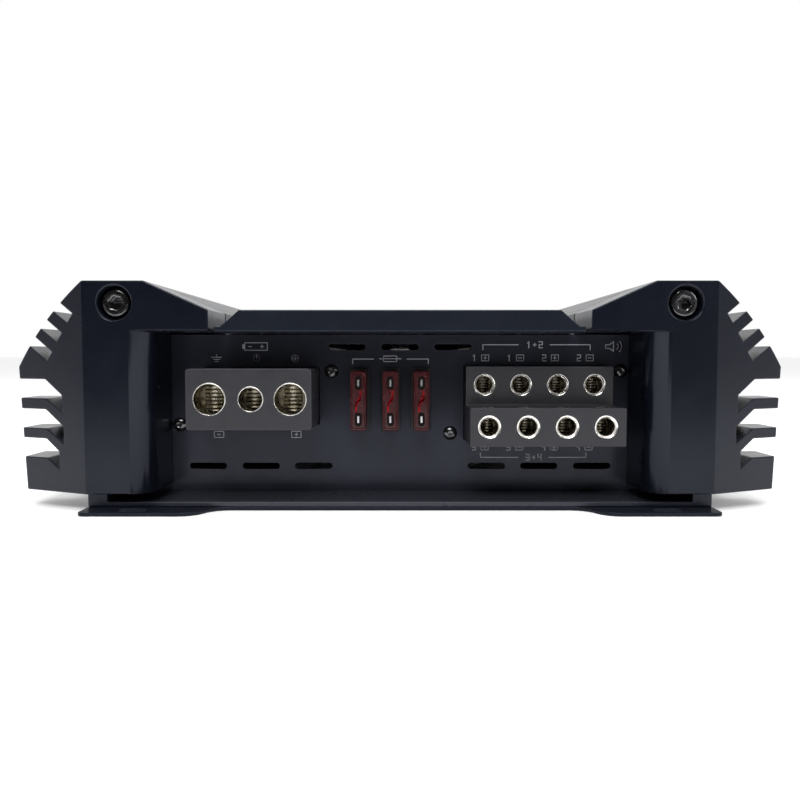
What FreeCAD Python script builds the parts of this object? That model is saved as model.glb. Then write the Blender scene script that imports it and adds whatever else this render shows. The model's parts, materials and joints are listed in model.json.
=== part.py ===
import FreeCAD, Part
import math
import os

# Four-channel car amplifier, in millimetres. X runs across it, Y along it and Z up.
# The terminal end faces -Y and the control end faces +Y. The origin is at the centre
# of the underside of the base plate. Right means +X.

V = FreeCAD.Vector

# ---- overall ----
END_Y = 150.0  # end planes of the caps and of the top cover
PANEL_Y = 127.4  # outer faces of the two end panels
PANEL_T = 1.5
CORE_Y = PANEL_Y - PANEL_T  # ends of the heatsink extrusion
CAP_BACK_Y = CORE_Y + 0.6  # the caps leave a thin shadow line before the extrusion
FOOT_Z = 5.5  # underside of the caps and of the heatsink
TOP_Z = 71.3  # shoulder tops

# ---- thread radii, and the M3 head: radius, height, key and rounded edge ----
M25_R = 1.25
M3_R = 1.5
M4_R = 2.0
M5_R = 2.5
M3_HEAD = (2.8, 2.0, 2.0, 0.6)

# ---- heatsink and cap section, right half ----
RECESS_X = 76.6  # side wall of the recess in front of each panel
ARM_X = 58.7  # inner face of the shoulder
ARM_Z = 56.0  # underside of the caps' arms
SLOPE_LOW = (58.7, 62.5)
SLOPE_HIGH = (78.4, TOP_Z)
CAP_RIDGE_X = 97.2  # where the cap's front starts to sweep back
CAP_SIDE_X = 122.3
CAP_SIDE_Z = 44.9  # the curved shoulder ends here and the straight side starts
CAP_TAPER = 2.3  # the side leans in by this much at its foot
CAP_BULGE = 1.75  # how far the cap's shoulder stands out of a straight line
CAP_SWEEP = math.radians(23.5)
CAP_INNER_R = 6.7  # rounded front edge of the recess wall
SINK_BULGE = 1.2
SINK_RIDGE_X = 95.5
SINK_SIDE_X = 112.0
SINK_SIDE_Z = 52.0
SINK_FOOT_X = 98.0
SINK_FIN_Z = 8.5
CAVITY_X = 88.0
DUCT = [(79.5, 59.5), (79.5, 67.2), (62.7, 59.9)]  # hollow under the sloping shoulder
GROOVE_SHARES = (0.22, 0.78)  # shallow grooves along the slope
WEB_TOP = 55.7
WEB_T = 3.0
WEB_LOW = WEB_TOP - WEB_T
CHANNEL_X = 36.0  # screw channels under the web
CHANNEL_Z = 49.0
CHANNEL_R = 3.2

# ---- slots between the fins ----
DIAGONAL = math.radians(36.0)
SLOT_W = 3.4
CAP_SLOT_MOUTHS = [(106.4, 63.3, 5.6), (112.0, 58.4, 7.3), (116.6, 53.0, 8.2)]
SINK_SLOT_MOUTHS = [(101.3, 65.6, 5.6), (105.9, 60.6, 6.6), (109.9, 55.4, 7.6)]
CAP_SIDE_SLOTS = [(41.0, 105.6), (31.5, 105.2), (22.2, 107.1)]  # top Z, root X
CAP_SIDE_SLOT_H = 6.0
CAP_BEND_X = 112.0
SINK_SLOT_COUNT = 6
SINK_SLOT_PITCH = 6.2
SINK_SLOT_H = 3.6
SINK_SLOT_Z = 11.5
SINK_SLOT_X = 99.5

# ---- cap screws, M5 socket head ----
CAP_SCREW_X = 87.4
CAP_SCREW_Z = 64.5
CAP_SCREW_SINK = 1.5  # depth of the head's face
CAP_SCREW_L = 30.0
CAP_SCREW_KEY = 4.0
CAP_SCREW_CLEAR_R = 2.75
COUNTERBORE_R = 5.1
COUNTERBORE_RIM = 0.5
HEAD_M5_R = 4.25
HEAD_M5_H = 5.0

# ---- top cover ----
COVER_X = 57.0
COVER_LIP_X = 54.9
COVER_LIP_Z = 57.5
COVER_TOP_X = 49.3
COVER_TOP_Z = 62.4
COVER_POCKET_X = 46.0
COVER_POCKET_Y = 120.0
COVER_SKIN = 2.8
COVER_SCREW_X = 51.5
COVER_SCREW_Y = [-110.0, 0.0, 110.0]

# ---- base plate and tray ----
BASE_X = 97.6
BASE_T = 1.2
TRAY_Y = 147.6
TRAY_FLOOR = 2.8
RIM_X = 91.5
EAR_Y = 156.8
EAR_BEND = (53.0, 67.0)  # the S-bend from the plate's end edge out to the ear
EAR_CORNER_R = 2.0
EAR_SLOT = (82.0, 152.8)
EAR_SLOT_R = 2.25
EAR_SLOT_L = 9.0
BASE_SCREW_X = 94.5
BASE_SCREW_Y = [-137.0, -60.0, 60.0, 137.0]
BASE_SCREW_L = 13.0
BASE_HEAD_R = 4.0
BASE_HEAD_GAP = 0.1

# ---- main board ----
BOARD_Z = 12.0
BOARD_T = 1.6
BOARD_TOP = BOARD_Z + BOARD_T
BOARD_X = 86.5
BOARD_Y = 120.0
STANDOFFS = [(x, y) for x in (-74.0, 74.0) for y in (-100.0, 0.0, 100.0)]

# ---- terminal panel ----
PANEL_X = 89.8
PANEL_TOP = 55.5
VENT = (12.5, 2.0)
VENTS_LOW = [(x, 11.2) for x in (-64.9, -47.0, -29.2, 29.2, 47.0, 64.9)]
VENTS_HIGH = [(x, 51.3) for x in (-17.8, 0.0, 17.8)]
TERMINAL_SCREWS = [(-74.1, 25.3), (-23.0, 43.2), (16.9, 22.4), (74.1, 43.3)]
SMALL_HEAD_R = 2.35
SMALL_HEAD_H = 1.3
SMALL_SCREW_L = 8.0
PANEL_CUTOUT_GAP = 0.2
FLANGE_T = 3.0
BLOCK_BACK_Y = 112.0
BLOCK_LEG_Y = 121.0

# ---- power block: X, bore radius ----
POWER_BOX = (-65.9, -27.2, 25.5, 44.4)
POWER_Z = 35.0
POWER_PORTS = [(-58.7, 4.75), (-46.0, 3.65), (-33.8, 4.75)]
POWER_WALL = 0.35
POWER_DEPTH = 7.5
INSERT_BACK = 4.0  # solid metal kept behind the end of each port
POWER_SCREW_R = 3.0
POWER_SCREW_KEY = 3.0
POWER_SCREW_Y = 143.5
POWER_BOSS = 5.0  # half length of the threaded boss over each port
PORT_CLEAR = 0.3  # gap between a backed-off clamp screw and its port
THREAD_CLEAR = 0.05
SCREW_HOLE_GAP = 0.4  # the plastic's hole over each clamp screw is wider by this

# ---- speaker block, in two steps ----
SPEAKER_X = (21.6, 69.8)
SPEAKER_PORTS_X = [27.6, 39.6, 51.6, 63.6]
STEP_LOW_Z = 20.3
STEP_MID_Z = 32.2
STEP_HIGH_Z = 44.9
STEP_BACK_Y = 135.0
# name, port Z, front Y, screw Y, top Z, Y of the solder tab
SPEAKER_ROWS = [
    ("lower", 26.4, END_Y, 143.0, STEP_MID_Z, 118.0),
    ("upper", 38.9, STEP_BACK_Y, 130.0, STEP_HIGH_Z, 114.0),
]
SPEAKER_R = 2.5
SPEAKER_RING_R = 3.65
SPEAKER_PAST_SCREW = 0.5  # the port ends this far behind its screw's axis
SPEAKER_MOUTH = (0.95, 2.0)  # the flared mouth's extra radius and its depth
SPEAKER_SCREW_R = 2.0
SPEAKER_SCREW_KEY = 2.0
SPEAKER_BOSS = 3.1
INSERT_SKIN = 0.8  # plastic left over the top of each insert

# ---- blade fuses and holders ----
FUSE_X = [-13.4, -3.1, 6.9]
FUSE_Z = 33.8
FUSE_W = 19.1
FUSE_T = 5.1
FUSE_TOP_Y = 140.0
HOLDER_Y = 128.2
HOLDER_BACK_Y = 116.0
HOLDER = (6.4, 21.0)
HOLDER_FLOOR = 1.5
FUSE_HEAD_H = 7.6
FUSE_WAIST = (2.1, 8.4)  # half thickness and half width below the head
BLADE_T = 0.65
BLADE_W = 5.2
BLADE_Z = 5.6
BLADE_END_Y = 121.0
TEST_TAB_Z = 6.3
TEST_TAB_W = 2.4

# ---- control end ----
CONTROL_Z = 33.0
KNOB_X = [26.0, 10.0, -22.0, -38.0]
SWITCH_X = [-6.0, -54.0]
LIGHT_X = [-66.0, -71.0]
RCA_X = [52.0, 66.0]
RCA_Z = [24.5, 40.5]
RCA_R = 4.15
RCA_BORE_R = 3.5
RCA_ROOT_R = 3.9  # the sleeve is narrower where it sits in the block
RCA_ROOT_Y = 119.9
RCA_NOSE_R = 5.0
RCA_NOSE_Y = 128.2
RCA_TIP_Y = 137.4
BUSH_R = 3.6
PANEL_GAP = 0.1  # around the noses and bushes that pass through the control panel
CONTROL_SCREWS = [(-CHANNEL_X, CHANNEL_Z), (CHANNEL_X, CHANNEL_Z), (59.0, 32.5)]
KNOB_R = 4.5
KNOB_Y = (129.0, 135.0)
KNOB_GROOVES = 18
KNOB_GROOVE_R = 0.35
POINTER_W = 0.8
POINTER_DEEP = 0.7
SHAFT_R = 3.0
SHAFT_Y = (118.3, 129.5)
POT_Y = (114.0, 122.0)
POT_HALF = 4.9
BUSH_END_Y = 128.6
SWITCH_WELL = (3.8, 1.8)  # half width and half height
SWITCH_WELL_Y = 120.0
SLIDER_HALF = 1.5
SLIDER_Y = (120.3, 131.0)
LIGHT_R = 1.5
LIGHT_Y = (122.0, 128.2)

# ---- power stage inside ----
DEVICE_Y = [-91.0 + 26.0 * i for i in range(8)]
DEVICE_T = 4.4
DEVICE_Z = (20.0, 35.0)
LEAD_PITCH = 2.54
CLAMP_T = 2.0
CLAMP_Z = 28.0
CLAMP_HALF = (104.0, 3.5)  # half length and half height
CLAMP_SCREW_Y = [-78.0, 0.0, 78.0]
CORE_AT = (-38.0, -62.0)
CORE_RING = (12.0, 20.0, 18.0, 33.0, 0.8)  # inner and outer radius, low and high Z, edge
WINDING_RING = (8.0, 24.0, BOARD_TOP, 37.0, 3.5)
INPUT_CAPS = [(x, y) for x in (22.0, 44.0) for y in (-80.0, -56.0)]
RAIL_CAPS = [(x, 0.0) for x in (-50.0, -30.0, -10.0, 10.0)]
COILS = [(x, 55.0) for x in (-45.0, -15.0, 15.0, 45.0)]
COIL_RING = (4.5, 11.0, BOARD_TOP, BOARD_TOP + 9.0, 2.5)


# ---- helpers ----
def box(x0, x1, y0, y1, z0, z1):
    return Part.makeBox(x1 - x0, y1 - y0, z1 - z0, V(x0, y0, z0))


def rod(x, y, z, direction, radius, length):
    return Part.makeCylinder(radius, length, V(x, y, z), V(*direction))


def prism_y(edges_or_points, y0, y1):
    """A section drawn in X and Z, carried from y0 to y1."""
    if isinstance(edges_or_points[0], tuple):
        points = [V(x, y0, z) for x, z in edges_or_points]
        wire = Part.makePolygon(points + points[:1])
    else:
        wire = Part.Wire(edges_or_points)
    return Part.Face(wire).extrude(V(0, y1 - y0, 0))


def lines(points):
    return [Part.LineSegment(a, b).toShape() for a, b in zip(points, points[1:])]


def mirror_x(shape):
    return shape.mirror(V(0, 0, 0), V(1, 0, 0))


def mirror_y(shape):
    return shape.mirror(V(0, 0, 0), V(0, 1, 0))


def place(shape, at, toward):
    """Turns a piece drawn along +Z to face the given way, then moves it."""
    turned = shape.copy()
    turned.Placement = FreeCAD.Placement(V(*at), FreeCAD.Rotation(V(0, 0, 1), V(*toward)))
    return turned


def join(shapes):
    result = shapes[0]
    for shape in shapes[1:]:
        result = result.fuse(shape)
    return result.removeSplitter()


def cut_all(shape, tools):
    for tool in tools:
        shape = shape.cut(tool)
    return shape


def hexagon(across_flats, z0, z1):
    radius = across_flats / math.sqrt(3)
    corners = [V(radius * math.cos(i * math.pi / 3), radius * math.sin(i * math.pi / 3), z0)
               for i in range(6)]
    return Part.Face(Part.makePolygon(corners + corners[:1])).extrude(V(0, 0, z1 - z0))


def screw(thread_r, length, head_r, head_h, key, edge):
    """Cap or button screw: the head's underside is at the origin and the shank runs down."""
    head = Part.makeCylinder(head_r, head_h)
    top_edge = [e for e in head.Edges if e.BoundBox.ZMin > head_h - 0.01]
    head = head.makeFillet(edge, top_edge)
    body = head.fuse(Part.makeCylinder(thread_r, length, V(0, 0, -length)))
    return body.cut(hexagon(key, head_h * 0.45, head_h + 1))


def grub_screw(thread_r, length, key):
    """Headless clamp screw, with its tip at the origin."""
    tip = Part.makeCone(thread_r - 0.5, thread_r, 0.5)
    body = tip.fuse(Part.makeCylinder(thread_r, length - 0.5, V(0, 0, 0.5)))
    return body.cut(hexagon(key, length * 0.5, length + 1))


def countersunk_screw(thread_r, length, head_r):
    """The head's flat face is at the origin and looks down; the shank runs up."""
    head = Part.makeCone(head_r, thread_r, head_r - thread_r)
    shank = Part.makeCylinder(thread_r, length)
    socket = hexagon(2.5, -1, 1.2)
    return head.fuse(shank).cut(socket)


# ---- fins ----
def diagonal_slot(mouth, y0, y1):
    """A parallel slot that runs down and inward from a mouth on the curved shoulder."""
    x, z, depth = mouth
    ux, uz = math.cos(DIAGONAL), math.sin(DIAGONAL)
    nx, nz = -uz * SLOT_W / 2, ux * SLOT_W / 2
    out = 6.0
    corners = [(x + ux * out + nx, z + uz * out + nz), (x - ux * depth + nx, z - uz * depth + nz),
               (x - ux * depth - nx, z - uz * depth - nz), (x + ux * out - nx, z + uz * out - nz)]
    return prism_y(corners, y0, y1)


def bent_slot(z_top, root_x, y0, y1):
    """A level slot from the side that turns down at its inner end."""
    z_low = z_top - CAP_SIDE_SLOT_H
    drop = (CAP_BEND_X - root_x) * 0.78
    outside = CAP_SIDE_X + 3.0
    corners = [(outside, z_top), (CAP_BEND_X, z_top), (root_x, z_top - drop),
               (root_x, z_low - drop * 0.85), (CAP_BEND_X - 0.4, z_low), (outside, z_low)]
    return prism_y(corners, y0, y1)


def shoulder_arc(start, end, bulge, y):
    """The gently rounded outer shoulder from the ridge down to the side."""
    mid_x, mid_z = (start[0] + end[0]) / 2, (start[1] + end[1]) / 2
    dx, dz = end[0] - start[0], end[1] - start[1]
    length = math.hypot(dx, dz)
    middle = V(mid_x - dz / length * bulge, y, mid_z + dx / length * bulge)
    return Part.Arc(V(start[0], y, start[1]), middle, V(end[0], y, end[1])).toShape()


# ---- end caps ----
def cap_blank():
    """Right-hand cap at the terminal end, before its openings."""
    y = -END_Y
    ridge = (CAP_RIDGE_X, TOP_Z)
    side = (CAP_SIDE_X, CAP_SIDE_Z)
    foot_x = CAP_SIDE_X - CAP_TAPER
    rest = [side, (foot_x, FOOT_Z), (RECESS_X, FOOT_Z), (RECESS_X, ARM_Z), (ARM_X, ARM_Z),
            SLOPE_LOW, SLOPE_HIGH, ridge]
    edges = [shoulder_arc(ridge, side, CAP_BULGE, y)] + lines([V(x, y, z) for x, z in rest])
    return prism_y(edges, -END_Y, -CAP_BACK_Y)


def end_cap(side):
    """The cap on one side of the terminal end: -1 is left, 1 is right."""
    y0, y1 = -END_Y - 1, -CAP_BACK_Y + 1
    reach = CAP_SIDE_X + 5 - CAP_RIDGE_X
    sweep = [V(CAP_RIDGE_X, -END_Y, 0), V(CAP_RIDGE_X, -END_Y - 2, 0),
             V(CAP_RIDGE_X + reach, -END_Y - 2, 0),
             V(CAP_RIDGE_X + reach, -END_Y + reach * math.tan(CAP_SWEEP), 0)]
    swept = Part.Face(Part.makePolygon(sweep + sweep[:1])).extrude(V(0, 0, 90))
    corner = box(RECESS_X - 1, RECESS_X + CAP_INNER_R, -END_Y - 1, -END_Y + CAP_INNER_R, 0, ARM_Z)
    corner = corner.cut(rod(RECESS_X + CAP_INNER_R, -END_Y + CAP_INNER_R, -1, (0, 0, 1),
                            CAP_INNER_R, 90))
    cap = cap_blank()
    cap = cut_all(cap, [diagonal_slot(mouth, y0, y1) for mouth in CAP_SLOT_MOUTHS])
    cap = cut_all(cap, [bent_slot(z, x, y0, y1) for z, x in CAP_SIDE_SLOTS])
    cap = cut_all(cap, [swept, corner])
    panel_pocket = box(RECESS_X - 1, PANEL_X + 1, -PANEL_Y, -CAP_BACK_Y + 1, 0, ARM_Z)
    pads = [box(PANEL_X + 2, 100, -CAP_BACK_Y - 1, -CORE_Y, 8, 60),
            box(80, 95, -CAP_BACK_Y - 1, -CORE_Y, 57.5, 69)]
    cap = join([cap.cut(panel_pocket)] + pads)
    sink = CAP_SCREW_SINK + HEAD_M5_H
    rim = Part.makeCone(COUNTERBORE_R + COUNTERBORE_RIM, COUNTERBORE_R, COUNTERBORE_RIM,
                        V(CAP_SCREW_X, -END_Y, CAP_SCREW_Z), V(0, 1, 0))
    tools = [rod(CAP_SCREW_X, -END_Y - 1, CAP_SCREW_Z, (0, 1, 0), CAP_SCREW_CLEAR_R, 40),
             rod(CAP_SCREW_X, -END_Y - 1, CAP_SCREW_Z, (0, 1, 0), COUNTERBORE_R, sink + 1),
             rim, rod(BASE_SCREW_X, BASE_SCREW_Y[0], FOOT_Z - 1, (0, 0, 1), M4_R, 10)]
    cap = cut_all(cap, tools)
    return cap if side > 0 else mirror_x(cap)


def end_cap_screws():
    made = []
    for side in (-1, 1):
        seat = -END_Y + CAP_SCREW_SINK + HEAD_M5_H
        piece = screw(M5_R, CAP_SCREW_L, HEAD_M5_R, HEAD_M5_H, CAP_SCREW_KEY, 0.5)
        piece = place(piece, (side * CAP_SCREW_X, seat, CAP_SCREW_Z), (0, -1, 0))
        made += [piece, mirror_y(mirror_x(piece))]
    return made


# ---- heatsink ----
def heatsink_half():
    y = -CORE_Y
    ridge = (SINK_RIDGE_X, TOP_Z)
    side = (SINK_SIDE_X, SINK_SIDE_Z)
    rest = [side, (SINK_SIDE_X, SINK_FIN_Z), (SINK_FOOT_X, SINK_FIN_Z), (SINK_FOOT_X, FOOT_Z),
            (CAVITY_X, FOOT_Z), (CAVITY_X, ARM_Z)] + DUCT + [
            (DUCT[-1][0], WEB_LOW), (0, WEB_LOW), (0, WEB_TOP), (ARM_X, WEB_TOP), SLOPE_LOW,
            SLOPE_HIGH, ridge]
    edges = [shoulder_arc(ridge, side, SINK_BULGE, y)] + lines([V(x, y, z) for x, z in rest])
    half = prism_y(edges, -CORE_Y, CORE_Y)
    ends = (-CORE_Y - 1, CORE_Y + 1)
    tools = [diagonal_slot(mouth, *ends) for mouth in SINK_SLOT_MOUTHS]
    for i in range(SINK_SLOT_COUNT):
        low = SINK_SLOT_Z + i * SINK_SLOT_PITCH
        tools.append(box(SINK_SLOT_X, SINK_SIDE_X + 5, *ends, low, low + SINK_SLOT_H))
    for share in GROOVE_SHARES:
        x = SLOPE_LOW[0] + share * (SLOPE_HIGH[0] - SLOPE_LOW[0])
        z = SLOPE_LOW[1] + share * (SLOPE_HIGH[1] - SLOPE_LOW[1])
        tools.append(prism_y([(x - 0.6, z + 0.4), (x + 0.6, z + 0.9), (x + 0.1, z - 0.8)], *ends))
    return cut_all(half, tools)


def heatsink():
    half = heatsink_half()
    channel = rod(CHANNEL_X, -CORE_Y, CHANNEL_Z, (0, 1, 0), CHANNEL_R, 2 * CORE_Y)
    neck = box(CHANNEL_X - 2, CHANNEL_X + 2, -CORE_Y, CORE_Y, CHANNEL_Z, WEB_LOW)
    half = join([half, channel, neck])
    tools = [rod(CHANNEL_X, CORE_Y - 12, CHANNEL_Z, (0, 1, 0), M25_R, 20)]
    for y in COVER_SCREW_Y:
        tools.append(rod(COVER_SCREW_X, y, WEB_LOW - 1, (0, 0, 1), M3_R, 6))
    for y in BASE_SCREW_Y[1:3]:
        tools.append(rod(BASE_SCREW_X, y, FOOT_Z - 1, (0, 0, 1), M4_R, 10))
    for y in CLAMP_SCREW_Y:
        tools.append(rod(CAVITY_X - 1, y, CLAMP_Z, (1, 0, 0), M3_R, 9))
    depth = CAP_SCREW_SINK + HEAD_M5_H + CAP_SCREW_L - (END_Y - CORE_Y) + 0.5
    for out in (-1, 1):
        tools.append(rod(CAP_SCREW_X, out * (CORE_Y + 1), CAP_SCREW_Z, (0, -out, 0), M5_R,
                         depth + 1))
    half = cut_all(half, tools)
    return join([half, mirror_x(half)])


# ---- cover, tray and base ----
def top_cover():
    half = [(COVER_X, WEB_TOP), (COVER_X, COVER_LIP_Z), (COVER_LIP_X, COVER_LIP_Z),
            (COVER_TOP_X, COVER_TOP_Z)]
    outline = half + [(-x, z) for x, z in reversed(half)]
    cover = prism_y(outline, -END_Y, END_Y)
    pocket = box(-COVER_POCKET_X, COVER_POCKET_X, -COVER_POCKET_Y, COVER_POCKET_Y,
                 WEB_TOP - 1, COVER_TOP_Z - COVER_SKIN)
    holes = [rod(side * COVER_SCREW_X, y, WEB_TOP - 1, (0, 0, 1), M3_R, 4.8)
             for side in (-1, 1) for y in COVER_SCREW_Y]
    return cut_all(cover, [pocket] + holes)


def cover_screws():
    piece = screw(M3_R, 6.5, *M3_HEAD)
    return [place(piece, (side * COVER_SCREW_X, y, WEB_LOW), (0, 0, -1))
            for side in (-1, 1) for y in COVER_SCREW_Y]


def ear_edges():
    """One corner of the base plate's edge, from the middle of the end to the side."""
    bend_x = (EAR_BEND[1] - EAR_BEND[0]) / 2
    bend_y = (EAR_Y - TRAY_Y) / 2
    angle = 2 * math.atan2(bend_y, bend_x)
    radius = bend_x / math.sin(angle)
    half = angle / 2
    a = V(EAR_BEND[0], TRAY_Y, 0)
    a_mid = V(EAR_BEND[0] + radius * math.sin(half), TRAY_Y + radius * (1 - math.cos(half)), 0)
    b = V(EAR_BEND[0] + bend_x, TRAY_Y + bend_y, 0)
    b_mid = V(EAR_BEND[1] - radius * math.sin(half), EAR_Y - radius * (1 - math.cos(half)), 0)
    c = V(EAR_BEND[1], EAR_Y, 0)
    r = EAR_CORNER_R
    d = V(BASE_X - r, EAR_Y, 0)
    d_mid = V(BASE_X - r + r * math.sin(math.pi / 4), EAR_Y - r + r * math.cos(math.pi / 4), 0)
    e = V(BASE_X, EAR_Y - r, 0)
    return (lines([V(0, TRAY_Y, 0), a]) + [Part.Arc(a, a_mid, b).toShape(),
            Part.Arc(b, b_mid, c).toShape()] + lines([c, d]) + [Part.Arc(d, d_mid, e).toShape()]
            + lines([e, V(BASE_X, 0, 0)]))


def quarter_plate():
    edges = ear_edges() + lines([V(BASE_X, 0, 0), V(0, 0, 0), V(0, TRAY_Y, 0)])
    plate = Part.Face(Part.Wire(edges)).extrude(V(0, 0, BASE_T))
    x, y = EAR_SLOT
    reach = EAR_SLOT_L / 2 - EAR_SLOT_R
    slot = [rod(x - reach, y, -1, (0, 0, 1), EAR_SLOT_R, 4),
            rod(x + reach, y, -1, (0, 0, 1), EAR_SLOT_R, 4),
            box(x - reach, x + reach, y - EAR_SLOT_R, y + EAR_SLOT_R, -1, 3)]
    return cut_all(plate, slot)


def base_screws():
    piece = countersunk_screw(M4_R, BASE_SCREW_L, BASE_HEAD_R)
    return [place(piece, (side * BASE_SCREW_X, y, BASE_HEAD_GAP), (0, 0, 1))
            for side in (-1, 1) for y in BASE_SCREW_Y]


def countersink(x, y):
    top_r = BASE_HEAD_R + BASE_HEAD_GAP
    return Part.makeCone(top_r, M4_R, top_r - M4_R, V(x, y, 0))


def base_plate():
    quarter = quarter_plate()
    right = quarter.fuse(mirror_y(quarter))
    plate = join([right, mirror_x(right)])
    for side in (-1, 1):
        for y in BASE_SCREW_Y:
            plate = plate.cut(countersink(side * BASE_SCREW_X, y))
    return plate


def bottom_tray():
    floor = box(-BASE_X, BASE_X, -TRAY_Y, TRAY_Y, BASE_T, TRAY_FLOOR)
    rims = [box(RIM_X, BASE_X, -TRAY_Y, TRAY_Y, BASE_T, FOOT_Z),
            box(-BASE_X, -RIM_X, -TRAY_Y, TRAY_Y, BASE_T, FOOT_Z)]
    tray = join([floor] + rims)
    for side in (-1, 1):
        for y in BASE_SCREW_Y:
            tray = tray.cut(countersink(side * BASE_SCREW_X, y))
            tray = tray.cut(rod(side * BASE_SCREW_X, y, 1, (0, 0, 1), M4_R, 6))
    return tray


# ---- panels ----
def rounded_slot(x, z, width, height, y0, y1):
    r = height / 2
    reach = width / 2 - r
    return join([rod(x - reach, y0, z, (0, 1, 0), r, y1 - y0),
                 rod(x + reach, y0, z, (0, 1, 0), r, y1 - y0),
                 box(x - reach, x + reach, y0, y1, z - r, z + r)])


def panel_plate(y0, y1):
    plate = box(-PANEL_X, PANEL_X, y0, y1, TRAY_FLOOR, PANEL_TOP)
    vents = [rounded_slot(x, z, *VENT, y0 - 1, y1 + 1) for x, z in VENTS_LOW + VENTS_HIGH]
    return cut_all(plate, vents)


def terminal_panel():
    y0, y1 = -PANEL_Y, -CORE_Y
    gap = PANEL_CUTOUT_GAP
    tools = [box(POWER_BOX[0] - gap, POWER_BOX[1] + gap, y0 - 1, y1 + 1,
                 POWER_BOX[2] - gap, POWER_BOX[3] + gap),
             box(SPEAKER_X[0] - gap, SPEAKER_X[1] + gap, y0 - 1, y1 + 1,
                 STEP_LOW_Z - gap, STEP_HIGH_Z + gap)]
    for x in FUSE_X:
        tools.append(box(x - HOLDER[0] / 2, x + HOLDER[0] / 2, y0 - 1, y1 + 1,
                         FUSE_Z - HOLDER[1] / 2, FUSE_Z + HOLDER[1] / 2))
    for x, z in TERMINAL_SCREWS:
        tools.append(rod(x, y0 - 1, z, (0, 1, 0), M25_R, 4))
    return cut_all(panel_plate(y0, y1), tools)


def control_panel():
    y0, y1 = CORE_Y, PANEL_Y
    tools = [rod(x, y0 - 1, CONTROL_Z, (0, 1, 0), BUSH_R + PANEL_GAP, 4) for x in KNOB_X]
    tools += [rod(x, y0 - 1, z, (0, 1, 0), RCA_NOSE_R + PANEL_GAP, 4)
              for x in RCA_X for z in RCA_Z]
    tools += [rod(x, y0 - 1, CONTROL_Z, (0, 1, 0), LIGHT_R, 4) for x in LIGHT_X]
    tools += [rod(x, y0 - 1, z, (0, 1, 0), M25_R, 4) for x, z in CONTROL_SCREWS]
    wide, high = SWITCH_WELL[0] + PANEL_GAP, SWITCH_WELL[1] + PANEL_GAP
    for x in SWITCH_X:
        tools.append(box(x - wide, x + wide, y0 - 1, y1 + 1, CONTROL_Z - high, CONTROL_Z + high))
    return cut_all(panel_plate(y0, y1), tools)


def small_screws(places, y, out):
    piece = screw(M25_R, SMALL_SCREW_L, SMALL_HEAD_R, SMALL_HEAD_H, 1.5, 0.9)
    return [place(piece, (x, y, z), (0, out, 0)) for x, z in places]


# ---- terminals ----
def power_insert(x, bore_r):
    """Plated clamp body: a round port that ends in the clamp screw's upright hole, a
    threaded boss over it and a tab to the board."""
    y = -END_Y
    length = POWER_DEPTH + INSERT_BACK
    outer = bore_r + POWER_WALL
    top = POWER_BOX[3] - INSERT_SKIN
    boss = [-POWER_SCREW_Y - POWER_BOSS, -POWER_SCREW_Y + POWER_BOSS]
    body = join([
        rod(x, y, POWER_Z, (0, 1, 0), outer, length),
        box(x - 4.4, x + 4.4, *boss, POWER_Z, top),
        box(x - 2, x + 2, y + length - 1, -BLOCK_LEG_Y + 4, POWER_Z - 1, POWER_Z + 1),
        box(x - 2, x + 2, -BLOCK_LEG_Y + 2, -BLOCK_LEG_Y + 4, BOARD_TOP, POWER_Z + 1)])
    port = rod(x, y - 1, POWER_Z, (0, 1, 0), bore_r, POWER_DEPTH + 1)
    thread = rod(x, -POWER_SCREW_Y, POWER_Z - bore_r, (0, 0, 1), POWER_SCREW_R + THREAD_CLEAR, 20)
    return body.cut(port).cut(thread)


def power_block():
    x0, x1, z0, z1 = POWER_BOX
    body = box(x0, x1, -END_Y, -BLOCK_BACK_Y, z0, z1)
    upright = [e for e in body.Edges
               if abs(e.BoundBox.YLength - (END_Y - BLOCK_BACK_Y)) < 0.01]
    body = body.makeFillet(1.0, upright)
    legs = box(x0 + 2, x1 - 2, -BLOCK_LEG_Y + 1, -BLOCK_BACK_Y, BOARD_TOP, z0 + 1)
    ears = [flange_ear(TERMINAL_SCREWS[0], x0 + 1), flange_ear(TERMINAL_SCREWS[1], x1 - 1)]
    block = join([body, legs] + ears)
    tools = []
    for x, bore_r in POWER_PORTS:
        tools.append(power_insert(x, bore_r))
        tools.append(rod(x, -END_Y - 1, POWER_Z, (0, 1, 0), bore_r, POWER_DEPTH + 1))
        tools.append(rod(x, -POWER_SCREW_Y, POWER_Z - bore_r, (0, 0, 1),
                         POWER_SCREW_R + SCREW_HOLE_GAP, 20))
    return cut_all(block, tools)


def flange_ear(at, body_x):
    """A screw ear behind the panel, joined to the side of its block."""
    x, z = at
    low, high = sorted([x, body_x])
    reach = 4.0
    low = low - reach if low == x else low
    high = high + reach if high == x else high
    ear = box(low, high, -CORE_Y, -CORE_Y + FLANGE_T, z - reach, z + reach)
    return ear.cut(rod(x, -CORE_Y - 1, z, (0, 1, 0), M25_R, 9))


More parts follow.
